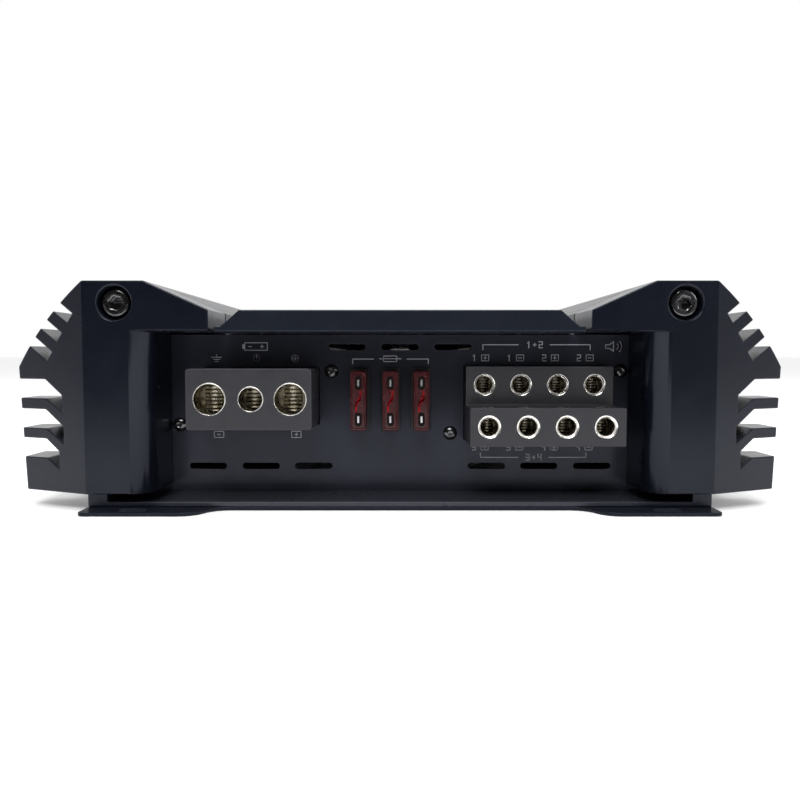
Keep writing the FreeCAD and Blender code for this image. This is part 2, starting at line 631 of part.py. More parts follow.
def speaker_insert(x, row):
    name, z, front, screw_y, top, tab_y = row
    y = -front
    depth = front - screw_y + SPEAKER_PAST_SCREW
    length = depth + INSERT_BACK
    boss = SPEAKER_BOSS
    body = join([
        rod(x, y, z, (0, 1, 0), SPEAKER_RING_R, length),
        box(x - boss, x + boss, -screw_y - boss, -screw_y + boss, z, top - INSERT_SKIN),
        box(x - 1.5, x + 1.5, y + length - 1, -tab_y + 1.5, z - 0.75, z + 0.75),
        box(x - 1.5, x + 1.5, -tab_y, -tab_y + 1.5, BOARD_TOP, z + 0.75)])
    flare, mouth_depth = SPEAKER_MOUTH
    port = rod(x, y - 1, z, (0, 1, 0), SPEAKER_R, depth + 1)
    mouth = Part.makeCone(SPEAKER_R + flare, SPEAKER_R, mouth_depth, V(x, y, z), V(0, 1, 0))
    thread = rod(x, -screw_y, z - SPEAKER_R, (0, 0, 1), SPEAKER_SCREW_R + THREAD_CLEAR, 20)
    return cut_all(body, [port, mouth, thread])


def speaker_block():
    x0, x1 = SPEAKER_X
    lower = box(x0, x1, -END_Y, -BLOCK_BACK_Y, STEP_LOW_Z, STEP_MID_Z)
    upper = box(x0, x1, -STEP_BACK_Y, -BLOCK_BACK_Y, STEP_MID_Z, STEP_HIGH_Z)
    legs = box(x0 + 2, x1 - 2, -BLOCK_LEG_Y + 1, -BLOCK_BACK_Y, BOARD_TOP, STEP_LOW_Z + 1)
    ears = [flange_ear(TERMINAL_SCREWS[2], x0 + 1), flange_ear(TERMINAL_SCREWS[3], x1 - 1)]
    block = join([lower, upper, legs] + ears)
    tools = []
    for row in SPEAKER_ROWS:
        name, z, front, screw_y, top, tab_y = row
        for x in SPEAKER_PORTS_X:
            tools.append(speaker_insert(x, row))
            tools.append(rod(x, -front - 1, z, (0, 1, 0), SPEAKER_R + SPEAKER_MOUTH[0],
                             front - screw_y + SPEAKER_PAST_SCREW + 1))
            tools.append(rod(x, -screw_y, z - SPEAKER_R, (0, 0, 1),
                             SPEAKER_SCREW_R + SCREW_HOLE_GAP, top - z + SPEAKER_R + 1))
    return cut_all(block, tools)


# ---- fuses ----
def fuse_blades(x):
    """The fuse's metal: two blades, their test tabs and the link between them."""
    t = BLADE_T / 2
    parts = []
    for side in (-1, 1):
        z = FUSE_Z + side * BLADE_Z
        tab = FUSE_Z + side * TEST_TAB_Z
        parts.append(box(x - t, x + t, -FUSE_TOP_Y + 4, -BLADE_END_Y, z - BLADE_W / 2,
                         z + BLADE_W / 2))
        parts.append(box(x - t, x + t, -FUSE_TOP_Y + 0.4, -FUSE_TOP_Y + 5,
                         tab - TEST_TAB_W / 2, tab + TEST_TAB_W / 2))
    parts.append(box(x - t, x + t, -FUSE_TOP_Y + 5, -FUSE_TOP_Y + 7, FUSE_Z - BLADE_Z,
                     FUSE_Z + BLADE_Z))
    return join(parts)


def fuse_body(x):
    seat = -HOLDER_Y - 0.2
    head = box(x - FUSE_T / 2, x + FUSE_T / 2, -FUSE_TOP_Y, -FUSE_TOP_Y + FUSE_HEAD_H,
               FUSE_Z - FUSE_W / 2, FUSE_Z + FUSE_W / 2)
    head = head.makeFillet(0.8, head.Edges)
    thin, wide = FUSE_WAIST
    waist = box(x - thin, x + thin, -FUSE_TOP_Y + 6, seat, FUSE_Z - wide, FUSE_Z + wide)
    body = join([head, waist])
    windows = [box(x - BLADE_T / 2, x + BLADE_T / 2, -FUSE_TOP_Y - 1, -FUSE_TOP_Y + 1,
                   FUSE_Z + side * TEST_TAB_Z - TEST_TAB_W / 2,
                   FUSE_Z + side * TEST_TAB_Z + TEST_TAB_W / 2) for side in (-1, 1)]
    return cut_all(body, [fuse_blades(x)] + windows)


def fuse_holder(x):
    w, h = HOLDER[0] / 2, HOLDER[1] / 2
    body = box(x - w, x + w, -HOLDER_Y, -HOLDER_BACK_Y, FUSE_Z - h, FUSE_Z + h)
    leg = box(x - 2.5, x + 2.5, -BOARD_Y, -HOLDER_BACK_Y, BOARD_TOP, FUSE_Z)
    holder = join([body, leg])
    wells = [box(x - 1.5, x + 1.5, -HOLDER_Y - 1, -HOLDER_BACK_Y - HOLDER_FLOOR,
                 FUSE_Z + side * BLADE_Z - 3.2, FUSE_Z + side * BLADE_Z + 3.2)
             for side in (-1, 1)]
    return cut_all(holder, wells)


def fuse_clip(x, side):
    """Sprung U-shaped contact that grips one blade."""
    z = FUSE_Z + side * BLADE_Z
    inner = BLADE_T / 2 + 0.07
    outer = inner + 0.5
    back = -HOLDER_BACK_Y - HOLDER_FLOOR
    clip = box(x - outer, x + outer, -HOLDER_Y + 1.2, back, z - 2.5, z + 2.5)
    return clip.cut(box(x - inner, x + inner, -HOLDER_Y, back - 0.6, z - 3, z + 3))


# ---- control end ----
def knob(x):
    """A knurled level knob on its shaft, with a pointer groove across its face."""
    back, face = KNOB_Y
    shaft = rod(x, SHAFT_Y[0], CONTROL_Z, (0, 1, 0), SHAFT_R, SHAFT_Y[1] - SHAFT_Y[0])
    cap = rod(x, back, CONTROL_Z, (0, 1, 0), KNOB_R, face - back)
    grooves = []
    for i in range(KNOB_GROOVES):
        angle = i * 2 * math.pi / KNOB_GROOVES
        grooves.append(rod(x + KNOB_R * math.cos(angle), back - 1,
                           CONTROL_Z + KNOB_R * math.sin(angle), (0, 1, 0), KNOB_GROOVE_R, 9))
    pointer = box(x - POINTER_W / 2, x + POINTER_W / 2, face - POINTER_DEEP, face + 1,
                  CONTROL_Z, CONTROL_Z + KNOB_R + 1)
    return cut_all(join([shaft, cap]), grooves + [pointer])


def potentiometer(x):
    body = box(x - POT_HALF, x + POT_HALF, *POT_Y, BOARD_TOP, CONTROL_Z + 5.5)
    bush = rod(x, POT_Y[1] - 1, CONTROL_Z, (0, 1, 0), BUSH_R, BUSH_END_Y - POT_Y[1] + 1)
    bore = rod(x, SHAFT_Y[0] - 0.3, CONTROL_Z, (0, 1, 0), SHAFT_R + THREAD_CLEAR, 12)
    return join([body, bush]).cut(bore)


def switch_body(x):
    body = join([box(x - 6.5, x + 6.5, 116.0, CORE_Y, CONTROL_Z - 4, CONTROL_Z + 4),
                 box(x - 5, x + 5, 116.0, 119.5, BOARD_TOP, CONTROL_Z)])
    wide, high = SWITCH_WELL
    well = box(x - wide, x + wide, SWITCH_WELL_Y, CORE_Y + 1, CONTROL_Z - high, CONTROL_Z + high)
    return body.cut(well)


def switch_slider(x):
    half = SLIDER_HALF
    stem = box(x - half, x + half, *SLIDER_Y, CONTROL_Z - half, CONTROL_Z + half)
    ribs = [box(x + dx - 0.2, x + dx + 0.2, 130.6, 132, CONTROL_Z - 2, CONTROL_Z + 2)
            for dx in (-0.8, 0.0, 0.8)]
    return cut_all(stem, ribs)


def rca_body():
    """Jack block on the board, with an insulating nose for each jack."""
    block = box(44.5, 73.5, 108.0, CORE_Y, BOARD_TOP, 48.5)
    parts = [block]
    for x in RCA_X:
        for z in RCA_Z:
            parts.append(rod(x, CORE_Y - 1, z, (0, 1, 0), RCA_NOSE_R, RCA_NOSE_Y - CORE_Y + 1))
            parts.append(rod(x, CORE_Y - 1, z, (0, 1, 0), RCA_BORE_R,
                             RCA_TIP_Y - 0.5 - CORE_Y + 1))
    tools = [rca_sleeve(x, z) for x in RCA_X for z in RCA_Z]
    tools += [rod(x, CORE_Y, z, (0, 1, 0), 1.6, 20) for x in RCA_X for z in RCA_Z]
    tools.append(rod(CONTROL_SCREWS[2][0], CORE_Y - 8, CONTROL_SCREWS[2][1], (0, 1, 0), M25_R, 9))
    return cut_all(join(parts), tools)


def rca_sleeve(x, z):
    """The jack's metal ring: full size outside the nose, narrower inside the block."""
    root = rod(x, RCA_ROOT_Y, z, (0, 1, 0), RCA_ROOT_R, RCA_NOSE_Y - RCA_ROOT_Y)
    ring_out = rod(x, RCA_NOSE_Y, z, (0, 1, 0), RCA_R, RCA_TIP_Y - RCA_NOSE_Y)
    bore = rod(x, RCA_ROOT_Y - 1, z, (0, 1, 0), RCA_BORE_R, RCA_TIP_Y - RCA_ROOT_Y + 2)
    return join([root, ring_out]).cut(bore)


def status_light(x):
    start, dome = LIGHT_Y
    stem = rod(x, start, CONTROL_Z, (0, 1, 0), LIGHT_R, dome - start)
    return join([stem, Part.makeSphere(LIGHT_R, V(x, dome, CONTROL_Z))])


# ---- board and power stage ----
def main_board():
    board = box(-BOARD_X, BOARD_X, -BOARD_Y, BOARD_Y, BOARD_Z, BOARD_TOP)
    return cut_all(board, [rod(x, y, BOARD_Z - 1, (0, 0, 1), M3_R, 4) for x, y in STANDOFFS])


def standoff(x, y):
    post = place(hexagon(6.0, 0, BOARD_Z - TRAY_FLOOR), (x, y, TRAY_FLOOR), (0, 0, 1))
    return post.cut(rod(x, y, BOARD_Z - 6.4, (0, 0, 1), M3_R, 9))


def power_device(side, y):
    """Flat power transistor against the heatsink wall, standing on three leads."""
    wall = CAVITY_X
    low, high = DEVICE_Z
    body = box(wall - DEVICE_T, wall, y - 5, y + 5, low, high)
    leads = [box(wall - 3.1, wall - 2.5, y + dy - 0.4, y + dy + 0.4, BOARD_TOP, low + 1)
             for dy in (-LEAD_PITCH, 0.0, LEAD_PITCH)]
    device = join([body] + leads)
    return device if side > 0 else mirror_x(device)


def device_clamp(side):
    inner = CAVITY_X - DEVICE_T - CLAMP_T
    long, high = CLAMP_HALF
    bar = box(inner, inner + CLAMP_T, -long, long, CLAMP_Z - high, CLAMP_Z + high)
    bar = cut_all(bar, [rod(inner - 1, y, CLAMP_Z, (1, 0, 0), M3_R, 5) for y in CLAMP_SCREW_Y])
    return bar if side > 0 else mirror_x(bar)


def clamp_screws():
    piece = screw(M3_R, 14.0, *M3_HEAD)
    seat = CAVITY_X - DEVICE_T - CLAMP_T
    return [place(piece, (side * seat, y, CLAMP_Z), (-side, 0, 0))
            for side in (-1, 1) for y in CLAMP_SCREW_Y]


def ring(at, inner, outer, z0, z1, edge):
    x, y = at
    shape = rod(x, y, z0, (0, 0, 1), outer, z1 - z0).cut(rod(x, y, z0, (0, 0, 1), inner, z1 - z0))
    rims = [e for e in shape.Edges if e.BoundBox.ZLength < 0.01]
    return shape.makeFillet(edge, rims)


def transformer_core():
    return ring(CORE_AT, *CORE_RING)


def transformer_winding():
    return ring(CORE_AT, *WINDING_RING).cut(transformer_core())


def can_capacitor(x, y, radius, height):
    can = rod(x, y, BOARD_TOP, (0, 0, 1), radius, height)
    top_edge = [e for e in can.Edges if e.BoundBox.ZMin > BOARD_TOP + height - 0.01]
    can = can.makeFillet(1.0, top_edge)
    groove = ring((x, y), radius - 0.6, radius + 1, BOARD_TOP + 3, BOARD_TOP + 4.4, 0.3)
    return can.cut(groove)


def export(name, shape):
    if isinstance(shape, list):
        shape = Part.makeCompound(shape)
    if not shape.isValid():
        raise ValueError(name + " is not a valid shape")
    shape.exportStep("parts/" + name + ".step")


def main():
    os.makedirs("parts", exist_ok=True)
    sides = [("left", -1), ("right", 1)]
    for name, side in sides:
        export("end_cap_front_" + name, end_cap(side))
        export("end_cap_rear_" + name, mirror_y(mirror_x(end_cap(-side))))
    export("end_cap_screws", end_cap_screws())
    export("heatsink", heatsink())
    export("top_cover", top_cover())
    export("cover_screws", cover_screws())
    export("base_plate", base_plate())
    export("bottom_tray", bottom_tray())
    export("base_screws", base_screws())
    export("terminal_panel", terminal_panel())
    export("control_panel", control_panel())
    export("terminal_panel_screws", small_screws(TERMINAL_SCREWS, -PANEL_Y, -1))
    export("control_panel_screws", small_screws(CONTROL_SCREWS, PANEL_Y, 1))

    export("power_terminal_block", power_block())
    export("power_inserts", [power_insert(x, r) for x, r in POWER_PORTS])
    for i, (x, bore_r) in enumerate(POWER_PORTS):
        tip = POWER_Z + bore_r + PORT_CLEAR
        piece = grub_screw(POWER_SCREW_R, POWER_BOX[3] - tip, POWER_SCREW_KEY)
        export("power_clamp_screw_%d" % (i + 1), place(piece, (x, -POWER_SCREW_Y, tip), (0, 0, 1)))
    export("speaker_terminal_block", speaker_block())
    export("speaker_inserts", [speaker_insert(x, row) for row in SPEAKER_ROWS
                               for x in SPEAKER_PORTS_X])
    for row in SPEAKER_ROWS:
        for i, x in enumerate(SPEAKER_PORTS_X):
            tip = row[1] + SPEAKER_R + PORT_CLEAR
            piece = grub_screw(SPEAKER_SCREW_R, row[4] - tip, SPEAKER_SCREW_KEY)
            name = "speaker_clamp_screw_%s_%d" % (row[0], i + 1)
            export(name, place(piece, (x, -row[3], tip), (0, 0, 1)))

    export("fuse_holders", [fuse_holder(x) for x in FUSE_X])
    export("fuse_clips", [fuse_clip(x, side) for x in FUSE_X for side in (-1, 1)])
    for i, x in enumerate(FUSE_X):
        export("fuse_body_%d" % (i + 1), fuse_body(x))
        export("fuse_blades_%d" % (i + 1), fuse_blades(x))

    for i, x in enumerate(KNOB_X):
        export("level_knob_%d" % (i + 1), knob(x))
    for i, x in enumerate(SWITCH_X):
        export("switch_slider_%d" % (i + 1), switch_slider(x))
    export("potentiometers", [potentiometer(x) for x in KNOB_X])
    export("switch_bodies", [switch_body(x) for x in SWITCH_X])
    export("rca_jack_block", rca_body())
    export("rca_sleeves", [rca_sleeve(x, z) for x in RCA_X for z in RCA_Z])
    export("status_lights", [status_light(x) for x in LIGHT_X])

    export("main_board", main_board())
    export("board_standoffs", [standoff(x, y) for x, y in STANDOFFS])
    board_screw = screw(M3_R, 7.5, *M3_HEAD)
    export("board_screws", [place(board_screw, (x, y, BOARD_TOP), (0, 0, 1)) for x, y in STANDOFFS])
    export("power_transistors", [power_device(side, y) for side in (-1, 1) for y in DEVICE_Y])
    export("transistor_clamps", [device_clamp(side) for side in (-1, 1)])
    export("clamp_screws", clamp_screws())
    export("transformer_core", transformer_core())
    export("transformer_winding", transformer_winding())
    export("input_capacitors", [can_capacitor(x, y, 9.0, 32.0) for x, y in INPUT_CAPS])
    export("rail_capacitors", [can_capacitor(x, y, 6.5, 26.0) for x, y in RAIL_CAPS])
    export("output_inductors", [ring(at, *COIL_RING) for at in COILS])


main()
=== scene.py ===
import json
import math

import bmesh
import bpy
from mathutils import Matrix, Vector


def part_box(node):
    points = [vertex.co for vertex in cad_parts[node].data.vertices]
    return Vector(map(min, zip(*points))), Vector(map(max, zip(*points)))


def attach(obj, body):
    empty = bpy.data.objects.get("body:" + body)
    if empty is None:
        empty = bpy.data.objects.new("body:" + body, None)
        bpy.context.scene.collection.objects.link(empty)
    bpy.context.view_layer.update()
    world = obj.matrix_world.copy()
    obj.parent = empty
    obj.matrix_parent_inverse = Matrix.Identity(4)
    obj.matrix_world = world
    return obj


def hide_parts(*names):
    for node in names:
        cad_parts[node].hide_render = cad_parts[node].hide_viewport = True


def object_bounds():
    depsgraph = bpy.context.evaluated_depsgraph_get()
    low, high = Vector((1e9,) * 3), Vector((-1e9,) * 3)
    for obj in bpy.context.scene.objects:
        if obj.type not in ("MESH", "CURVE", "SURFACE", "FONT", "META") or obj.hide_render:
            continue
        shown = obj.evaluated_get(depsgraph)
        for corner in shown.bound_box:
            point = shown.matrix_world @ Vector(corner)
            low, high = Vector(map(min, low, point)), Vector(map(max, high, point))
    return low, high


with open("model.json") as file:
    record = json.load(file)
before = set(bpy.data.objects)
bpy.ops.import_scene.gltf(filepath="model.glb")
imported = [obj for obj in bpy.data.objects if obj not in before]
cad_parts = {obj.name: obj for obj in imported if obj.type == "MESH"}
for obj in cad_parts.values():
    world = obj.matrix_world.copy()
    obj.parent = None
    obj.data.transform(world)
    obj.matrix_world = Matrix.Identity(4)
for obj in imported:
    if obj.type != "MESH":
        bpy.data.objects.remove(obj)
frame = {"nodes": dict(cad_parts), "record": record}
CAD_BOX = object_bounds()
MM = 0.001
CHASSIS = "chassis"
NODES = frame["nodes"]
MOUNTS = {m["name"]: m for m in frame["record"]["mounts"]}


def span(node):
    """The lowest and highest corner of a sub-part, in millimetres."""
    low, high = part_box(node)
    return [c / MM for c in low], [c / MM for c in high]


def middle(node):
    """The middle of a sub-part in X and Z, in millimetres."""
    low, high = span(node)
    return (low[0] + high[0]) / 2, (low[2] + high[2]) / 2


# ---- materials ----
class Finish:
    """A procedural material. Its patterns lie in the piece's own frame, in metres."""

    ON_EDGE = 0.86  # agreement of the true and the rounded normal on a sharp edge
    ON_FLAT = 0.985

    def __init__(self, name, colour, rough, metallic=0.0, stretch=(1, 1, 1)):
        self.material = bpy.data.materials.new(name)
        self.material.use_nodes = True
        self.tree = self.material.node_tree
        self.shader = self.tree.nodes["Principled BSDF"]
        self.shader.inputs["Base Color"].default_value = (*colour, 1)
        self.shader.inputs["Roughness"].default_value = rough
        self.shader.inputs["Metallic"].default_value = metallic
        self.colour = (*colour, 1)
        self.rough = rough
        place = self.node("ShaderNodeTexCoord")
        mapping = self.node("ShaderNodeMapping")
        mapping.inputs["Scale"].default_value = stretch
        self.link(place.outputs["Object"], mapping.inputs["Vector"])
        self.place = mapping.outputs["Vector"]
        self.colour_out = None
        self.normal_out = None

    def node(self, kind):
        return self.tree.nodes.new(kind)

    def link(self, a, b):
        self.tree.links.new(a, b)

    def noise(self, scale, detail=3.0, rough=0.55):
        noise = self.node("ShaderNodeTexNoise")
        noise.inputs["Scale"].default_value = scale
        noise.inputs["Detail"].default_value = detail
        noise.inputs["Roughness"].default_value = rough
        self.link(self.place, noise.inputs["Vector"])
        return noise.outputs["Fac"]

    def spread(self, value, low, high, from_low=0.3, from_high=0.7):
        rerange = self.node("ShaderNodeMapRange")
        rerange.inputs["From Min"].default_value = from_low
        rerange.inputs["From Max"].default_value = from_high
        rerange.inputs["To Min"].default_value = low
        rerange.inputs["To Max"].default_value = high
        self.link(value, rerange.inputs["Value"])
        return rerange.outputs["Result"]

    def mix(self, share, a, b):
        mix = self.node("ShaderNodeMix")
        mix.data_type = "RGBA"
        self.link(share, mix.inputs["Factor"])
        for value, socket in ((a, mix.inputs["A"]), (b, mix.inputs["B"])):
            if isinstance(value, tuple):
                socket.default_value = value
            else:
                self.link(value, socket)
        return mix.outputs["Result"]

    def mottle(self, scale, amount):
        """Slight light and dark patches in the colour."""
        dark = tuple(c * (1 - amount) for c in self.colour[:3]) + (1,)
        light = tuple(min(1.0, c * (1 + amount)) for c in self.colour[:3]) + (1,)
        share = self.spread(self.noise(scale), 0.0, 1.0)
        self.colour_out = self.mix(share, dark, light)
        return self

    def uneven(self, scale, amount):
        """Roughness that drifts over the surface."""
        low, high = max(0.02, self.rough - amount), min(1.0, self.rough + amount)
        self.link(self.spread(self.noise(scale, 5.0), low, high), self.shader.inputs["Roughness"])
        return self

    def bump(self, height, depth_mm, strength=1.0):
        bump = self.node("ShaderNodeBump")
        bump.inputs["Distance"].default_value = depth_mm * MM
        bump.inputs["Strength"].default_value = strength
        self.link(height, bump.inputs["Height"])
        if self.normal_out is not None:
            self.link(self.normal_out, bump.inputs["Normal"])
        self.normal_out = bump.outputs["Normal"]
        return self

    def grain(self, scale, depth_mm, strength=1.0):
        return self.bump(self.noise(scale, 4.0, 0.6), depth_mm, strength)

    def worn_and_highlit_edges(self, radius_mm, colour, amount):
        """Paler metal or rubbed coating along the sharp edges, which also stands in as a painted
        highlight where the edges catch the light.
        """
        bevel = self.node("ShaderNodeBevel")
        bevel.samples = 6
        bevel.inputs["Radius"].default_value = radius_mm * MM
        geometry = self.node("ShaderNodeNewGeometry")
        dot = self.node("ShaderNodeVectorMath")
        dot.operation = "DOT_PRODUCT"
        self.link(bevel.outputs["Normal"], dot.inputs[0])
        self.link(geometry.outputs["Normal"], dot.inputs[1])
        edge = self.spread(dot.outputs["Value"], amount, 0.0, self.ON_EDGE, self.ON_FLAT)
        base = self.colour_out if self.colour_out is not None else self.colour
        self.colour_out = self.mix(edge, base, (*colour, 1))
        return self

    def set(self, **values):
        for name, value in values.items():
            self.shader.inputs[name.replace("_", " ")].default_value = value
        return self

    def done(self):
        if self.colour_out is not None:
            self.link(self.colour_out, self.shader.inputs["Base Color"])
        if self.normal_out is not None:
            self.link(self.normal_out, self.shader.inputs["Normal"])
        return self.material


COOL = (0.80, 0.85, 1.0)  # tint of the coats' reflections
EXTRUDED = (1, 0.015, 1)  # stretches the grain along the amplifier


def coated(name, colour, rough, edge, shine, grain=2600, depth=0.006, stretch=(1, 1, 1)):
    """Powder coat or black anodising: fine grain, soft patches, and paler rubbed edges that also
    serve as a painted highlight. Shine is the strength of its reflection, then the brightness of
    the reflection's tint."""
    strength, bright = shine
    finish = Finish(name, colour, rough, 0.0, stretch)
    finish.set(Specular_IOR_Level=strength, Specular_Tint=(*(bright * c for c in COOL), 1))
    finish.mottle(45, 0.12).uneven(120, 0.04)
    # the pale edge colour is partly rubbed coating and partly a painted highlight
    return finish.grain(grain, depth, 0.8).worn_and_highlit_edges(0.35, edge, 0.55)


def plated(name, colour, rough, grain=900, depth=0.003):
    """Bright plated metal with faint stains and tool marks."""
    finish = Finish(name, colour, rough, 1.0)
    return finish.mottle(300, 0.07).uneven(500, 0.05).grain(grain, depth, 0.5)


def moulded(name, colour, rough, grain=3200, depth=0.02):
    """Plastic or another pressed surface with a fine, even grain."""
    finish = Finish(name, colour, rough)
    return finish.mottle(160, 0.08).uneven(260, 0.07).grain(grain, depth, 0.7)


def black_oxide():
    """Blackened steel of the screw heads, rubbed bright on its edges, which also serves as a
    painted glint.
    """
    finish = Finish("black_oxide", (0.10, 0.10, 0.105), 0.14, 0.95)
    finish.mottle(500, 0.2).uneven(900, 0.04).grain(2500, 0.002, 0.5)
    # the pale edge colour is rubbed steel and also a painted glint
    return finish.worn_and_highlit_edges(0.2, (0.40, 0.40, 0.41), 0.8).done()


def fuse_plastic():
    """Clear red plastic of the fuses."""
    finish = moulded("clear_red_plastic", (0.10, 0.008, 0.012), 0.22, 1200, 0.006)
    finish.set(Transmission_Weight=0.65, IOR=1.49)
    # the paler red along the edges is a painted highlight
    return finish.worn_and_highlit_edges(0.25, (0.22, 0.07, 0.08), 0.6).done()


def lens_plastic():
    """Clear blue plastic of the indicator lights."""
    finish = moulded("tinted_lens", (0.05, 0.22, 0.60), 0.10, 900, 0.002)
    return finish.set(Transmission_Weight=0.7, IOR=1.5).done()


def block_plastic():
    """Dark grey nylon of the terminal blocks, paler on its edges as a painted highlight."""
    finish = moulded("dark_grey_nylon", (0.019, 0.019, 0.024), 0.42)
    return finish.worn_and_highlit_edges(0.35, (0.14, 0.14, 0.155), 0.7).done()


def well_shade():
    """Painted shade in the wells round the fuses' test tabs: near black, with little reflection."""
    finish = moulded("dark_red_well", (0.0025, 0.0006, 0.0008), 0.5, 1500, 0.003)
    return finish.set(Specular_IOR_Level=0.1).done()


def winding_wire():
    """Enamelled copper turns, drawn as close ridges round the ring."""
    finish = Finish("enamelled_wire", (0.42, 0.14, 0.05), 0.28, 0.75)
    wave = finish.node("ShaderNodeTexWave")
    wave.inputs["Scale"].default_value = 420
    wave.inputs["Distortion"].default_value = 0.6
    finish.link(finish.place, wave.inputs["Vector"])
    return finish.mottle(400, 0.2).bump(wave.outputs["Fac"], 0.35).done()


def solder_mask():
    """Green lacquer of the main board, with faint tracks under it."""
    finish = Finish("solder_mask", (0.012, 0.085, 0.038), 0.32)
    tracks = finish.node("ShaderNodeTexBrick")
    tracks.inputs["Scale"].default_value = 130
    tracks.inputs["Color1"].default_value = (0.010, 0.070, 0.032, 1)
    tracks.inputs["Color2"].default_value = (0.016, 0.105, 0.048, 1)
    tracks.inputs["Mortar"].default_value = (0.03, 0.16, 0.07, 1)
    finish.link(finish.place, tracks.inputs["Vector"])
    finish.colour_out = tracks.outputs["Color"]
    return finish.uneven(200, 0.08).bump(tracks.outputs["Fac"], 0.03).done()


STEEL_PAINT = (0.007, 0.0085, 0.014)
# painted light: the ledge between the end caps is lighter than the rims under them
LEDGE_PAINTED_LIGHT = (0.030, 0.032, 0.041, 1)
LEDGE_LIGHT_FADE = (0.072, 0.078)  # distance from the middle where the painted light on the ledge ends, in metres


def tray_paint():
    """Satin paint, with painted light making the ledge between the end caps lighter than the rims
    under them, and a painted highlight along its edges.
    """
    finish = coated("satin_tray_paint", STEEL_PAINT, 0.30, edge=(0.20, 0.21, 0.23),
                    shine=(0.5, 0.8), grain=1800, depth=0.008)
    parts = finish.node("ShaderNodeSeparateXYZ")
    finish.link(finish.place, parts.inputs["Vector"])
    across = finish.node("ShaderNodeMath")
    across.operation = "ABSOLUTE"
    finish.link(parts.outputs["X"], across.inputs[0])
    share = finish.spread(across.outputs["Value"], 1.0, 0.0, *LEDGE_LIGHT_FADE)
    # painted light on the ledge between the end caps
    finish.colour_out = finish.mix(share, finish.colour_out, LEDGE_PAINTED_LIGHT)
    return finish.done()


MATERIALS = {
    "anodised_black": coated("black_anodised_extrusion", (0.011, 0.013, 0.019), 0.28,
                             edge=(0.06, 0.065, 0.075), shine=(0.32, 0.30), grain=2200,
                             stretch=EXTRUDED).done(),
    "cap_black": coated("black_cap_coat", (0.0036, 0.0046, 0.0088), 0.24,
                        edge=(0.04, 0.045, 0.055), shine=(0.34, 1.0)).done(),
    "cover_black": coated("black_cover_coat", (0.009, 0.011, 0.017), 0.22,
                          edge=(0.055, 0.06, 0.07), shine=(0.42, 0.75), grain=2200,
                          depth=0.005, stretch=EXTRUDED).done(),
    "steel_black": coated("black_painted_steel", STEEL_PAINT, 0.34,
                          edge=(0.03, 0.035, 0.045), shine=(0.40, 0.5), grain=1800,
                          depth=0.008).done(),
    "panel_black": coated("black_panel_paint", (0.017, 0.018, 0.026), 0.22,
                          edge=(0.06, 0.06, 0.07), shine=(0.28, 1.0), grain=3000).done(),
    "screw_black": black_oxide(),
    "screw_steel": plated("zinc_plate", (0.50, 0.51, 0.53), 0.27).done(),
    "block_plastic": block_plastic(),
    "holder_plastic": moulded("black_nylon", (0.003, 0.003, 0.004), 0.35).done(),
    "nickel": plated("warm_nickel", (0.90, 0.85, 0.73), 0.27).done(),
    "clip_brass": plated("tinned_brass", (0.70, 0.58, 0.36), 0.30).done(),
    "fuse_red": fuse_plastic(),
    "fuse_metal": plated("tinned_zinc", (0.80, 0.80, 0.82), 0.22).done(),
    "knob_plastic": moulded("black_knob_plastic", (0.014, 0.014, 0.016), 0.38).done(),
    "light_lens": lens_plastic(),
    "board_green": solder_mask(),
    "device_black": moulded("moulded_epoxy", (0.018, 0.018, 0.019), 0.5).done(),
    "ferrite": moulded("ground_ferrite", (0.05, 0.05, 0.055), 0.55, 1500, 0.03).done(),
    "copper_wire": winding_wire(),
    "can_sleeve": moulded("shrink_sleeve", (0.018, 0.02, 0.06), 0.22, 700, 0.02).done(),
}
NODE_MATERIALS = {"bottom_tray": tray_paint()}
INK = moulded("printed_ink", (0.34, 0.35, 0.37), 0.55, 4000, 0.004).done()
# painted shade in the fuses' test-tab wells
FUSE_WELL_SHADE = well_shade()
FUSE_LINK = plated("link_seen_through_red", (0.40, 0.018, 0.022), 0.30).done()
MOUTH = plated("bright_port_mouth", (0.92, 0.90, 0.86), 0.22).done()
# the bore wall, the speaker ports' threads and the thread roots are darkened as painted shade
# inside the ports
BORE = plated("shaded_port_wall", (0.24, 0.215, 0.165), 0.28).done()
SHADED_NICKEL = plated("shaded_thread", (0.55, 0.51, 0.44), 0.27).done()
SHADED_THREAD_ROOT = plated("oily_thread_root", (0.05, 0.045, 0.035), 0.35).done()


# ---- sub-parts that keep their shape ----
CAP_EDGE_MM = 0.4
EDGE_MM = {"heatsink": 0.25, "top_cover": 0.45, "base_plate": 0.25, "bottom_tray": 0.35,
           "terminal_panel": 0.15, "control_panel": 0.15, "power_terminal_block": 0.15,
           "speaker_terminal_block": 0.3, "fuse_holders": 0.2, "transistor_clamps": 0.2}
EDGE_MM.update({"end_cap_%s_%s" % (end, side): CAP_EDGE_MM
                for end in ("front", "rear") for side in ("left", "right")})
SOFT_ABOVE_DEG = 35  # corners sharper than this are rounded
FLAT_WITHIN_DEG = 0.6
WELD_MM = 0.001


def soften(piece, width_mm):
    """A small rounded edge that catches the light."""
    weld = piece.modifiers.new("weld", "WELD")
    weld.merge_threshold = WELD_MM * MM
    flat = piece.modifiers.new("flat", "DECIMATE")
    flat.decimate_type = "DISSOLVE"
    flat.angle_limit = math.radians(FLAT_WITHIN_DEG)
    bevel = piece.modifiers.new("edge", "BEVEL")
    bevel.width = width_mm * MM
    bevel.segments = 2
    bevel.limit_method = "ANGLE"
    bevel.angle_limit = math.radians(SOFT_ABOVE_DEG)
    bevel.use_clamp_overlap = False
    bevel.harden_normals = True


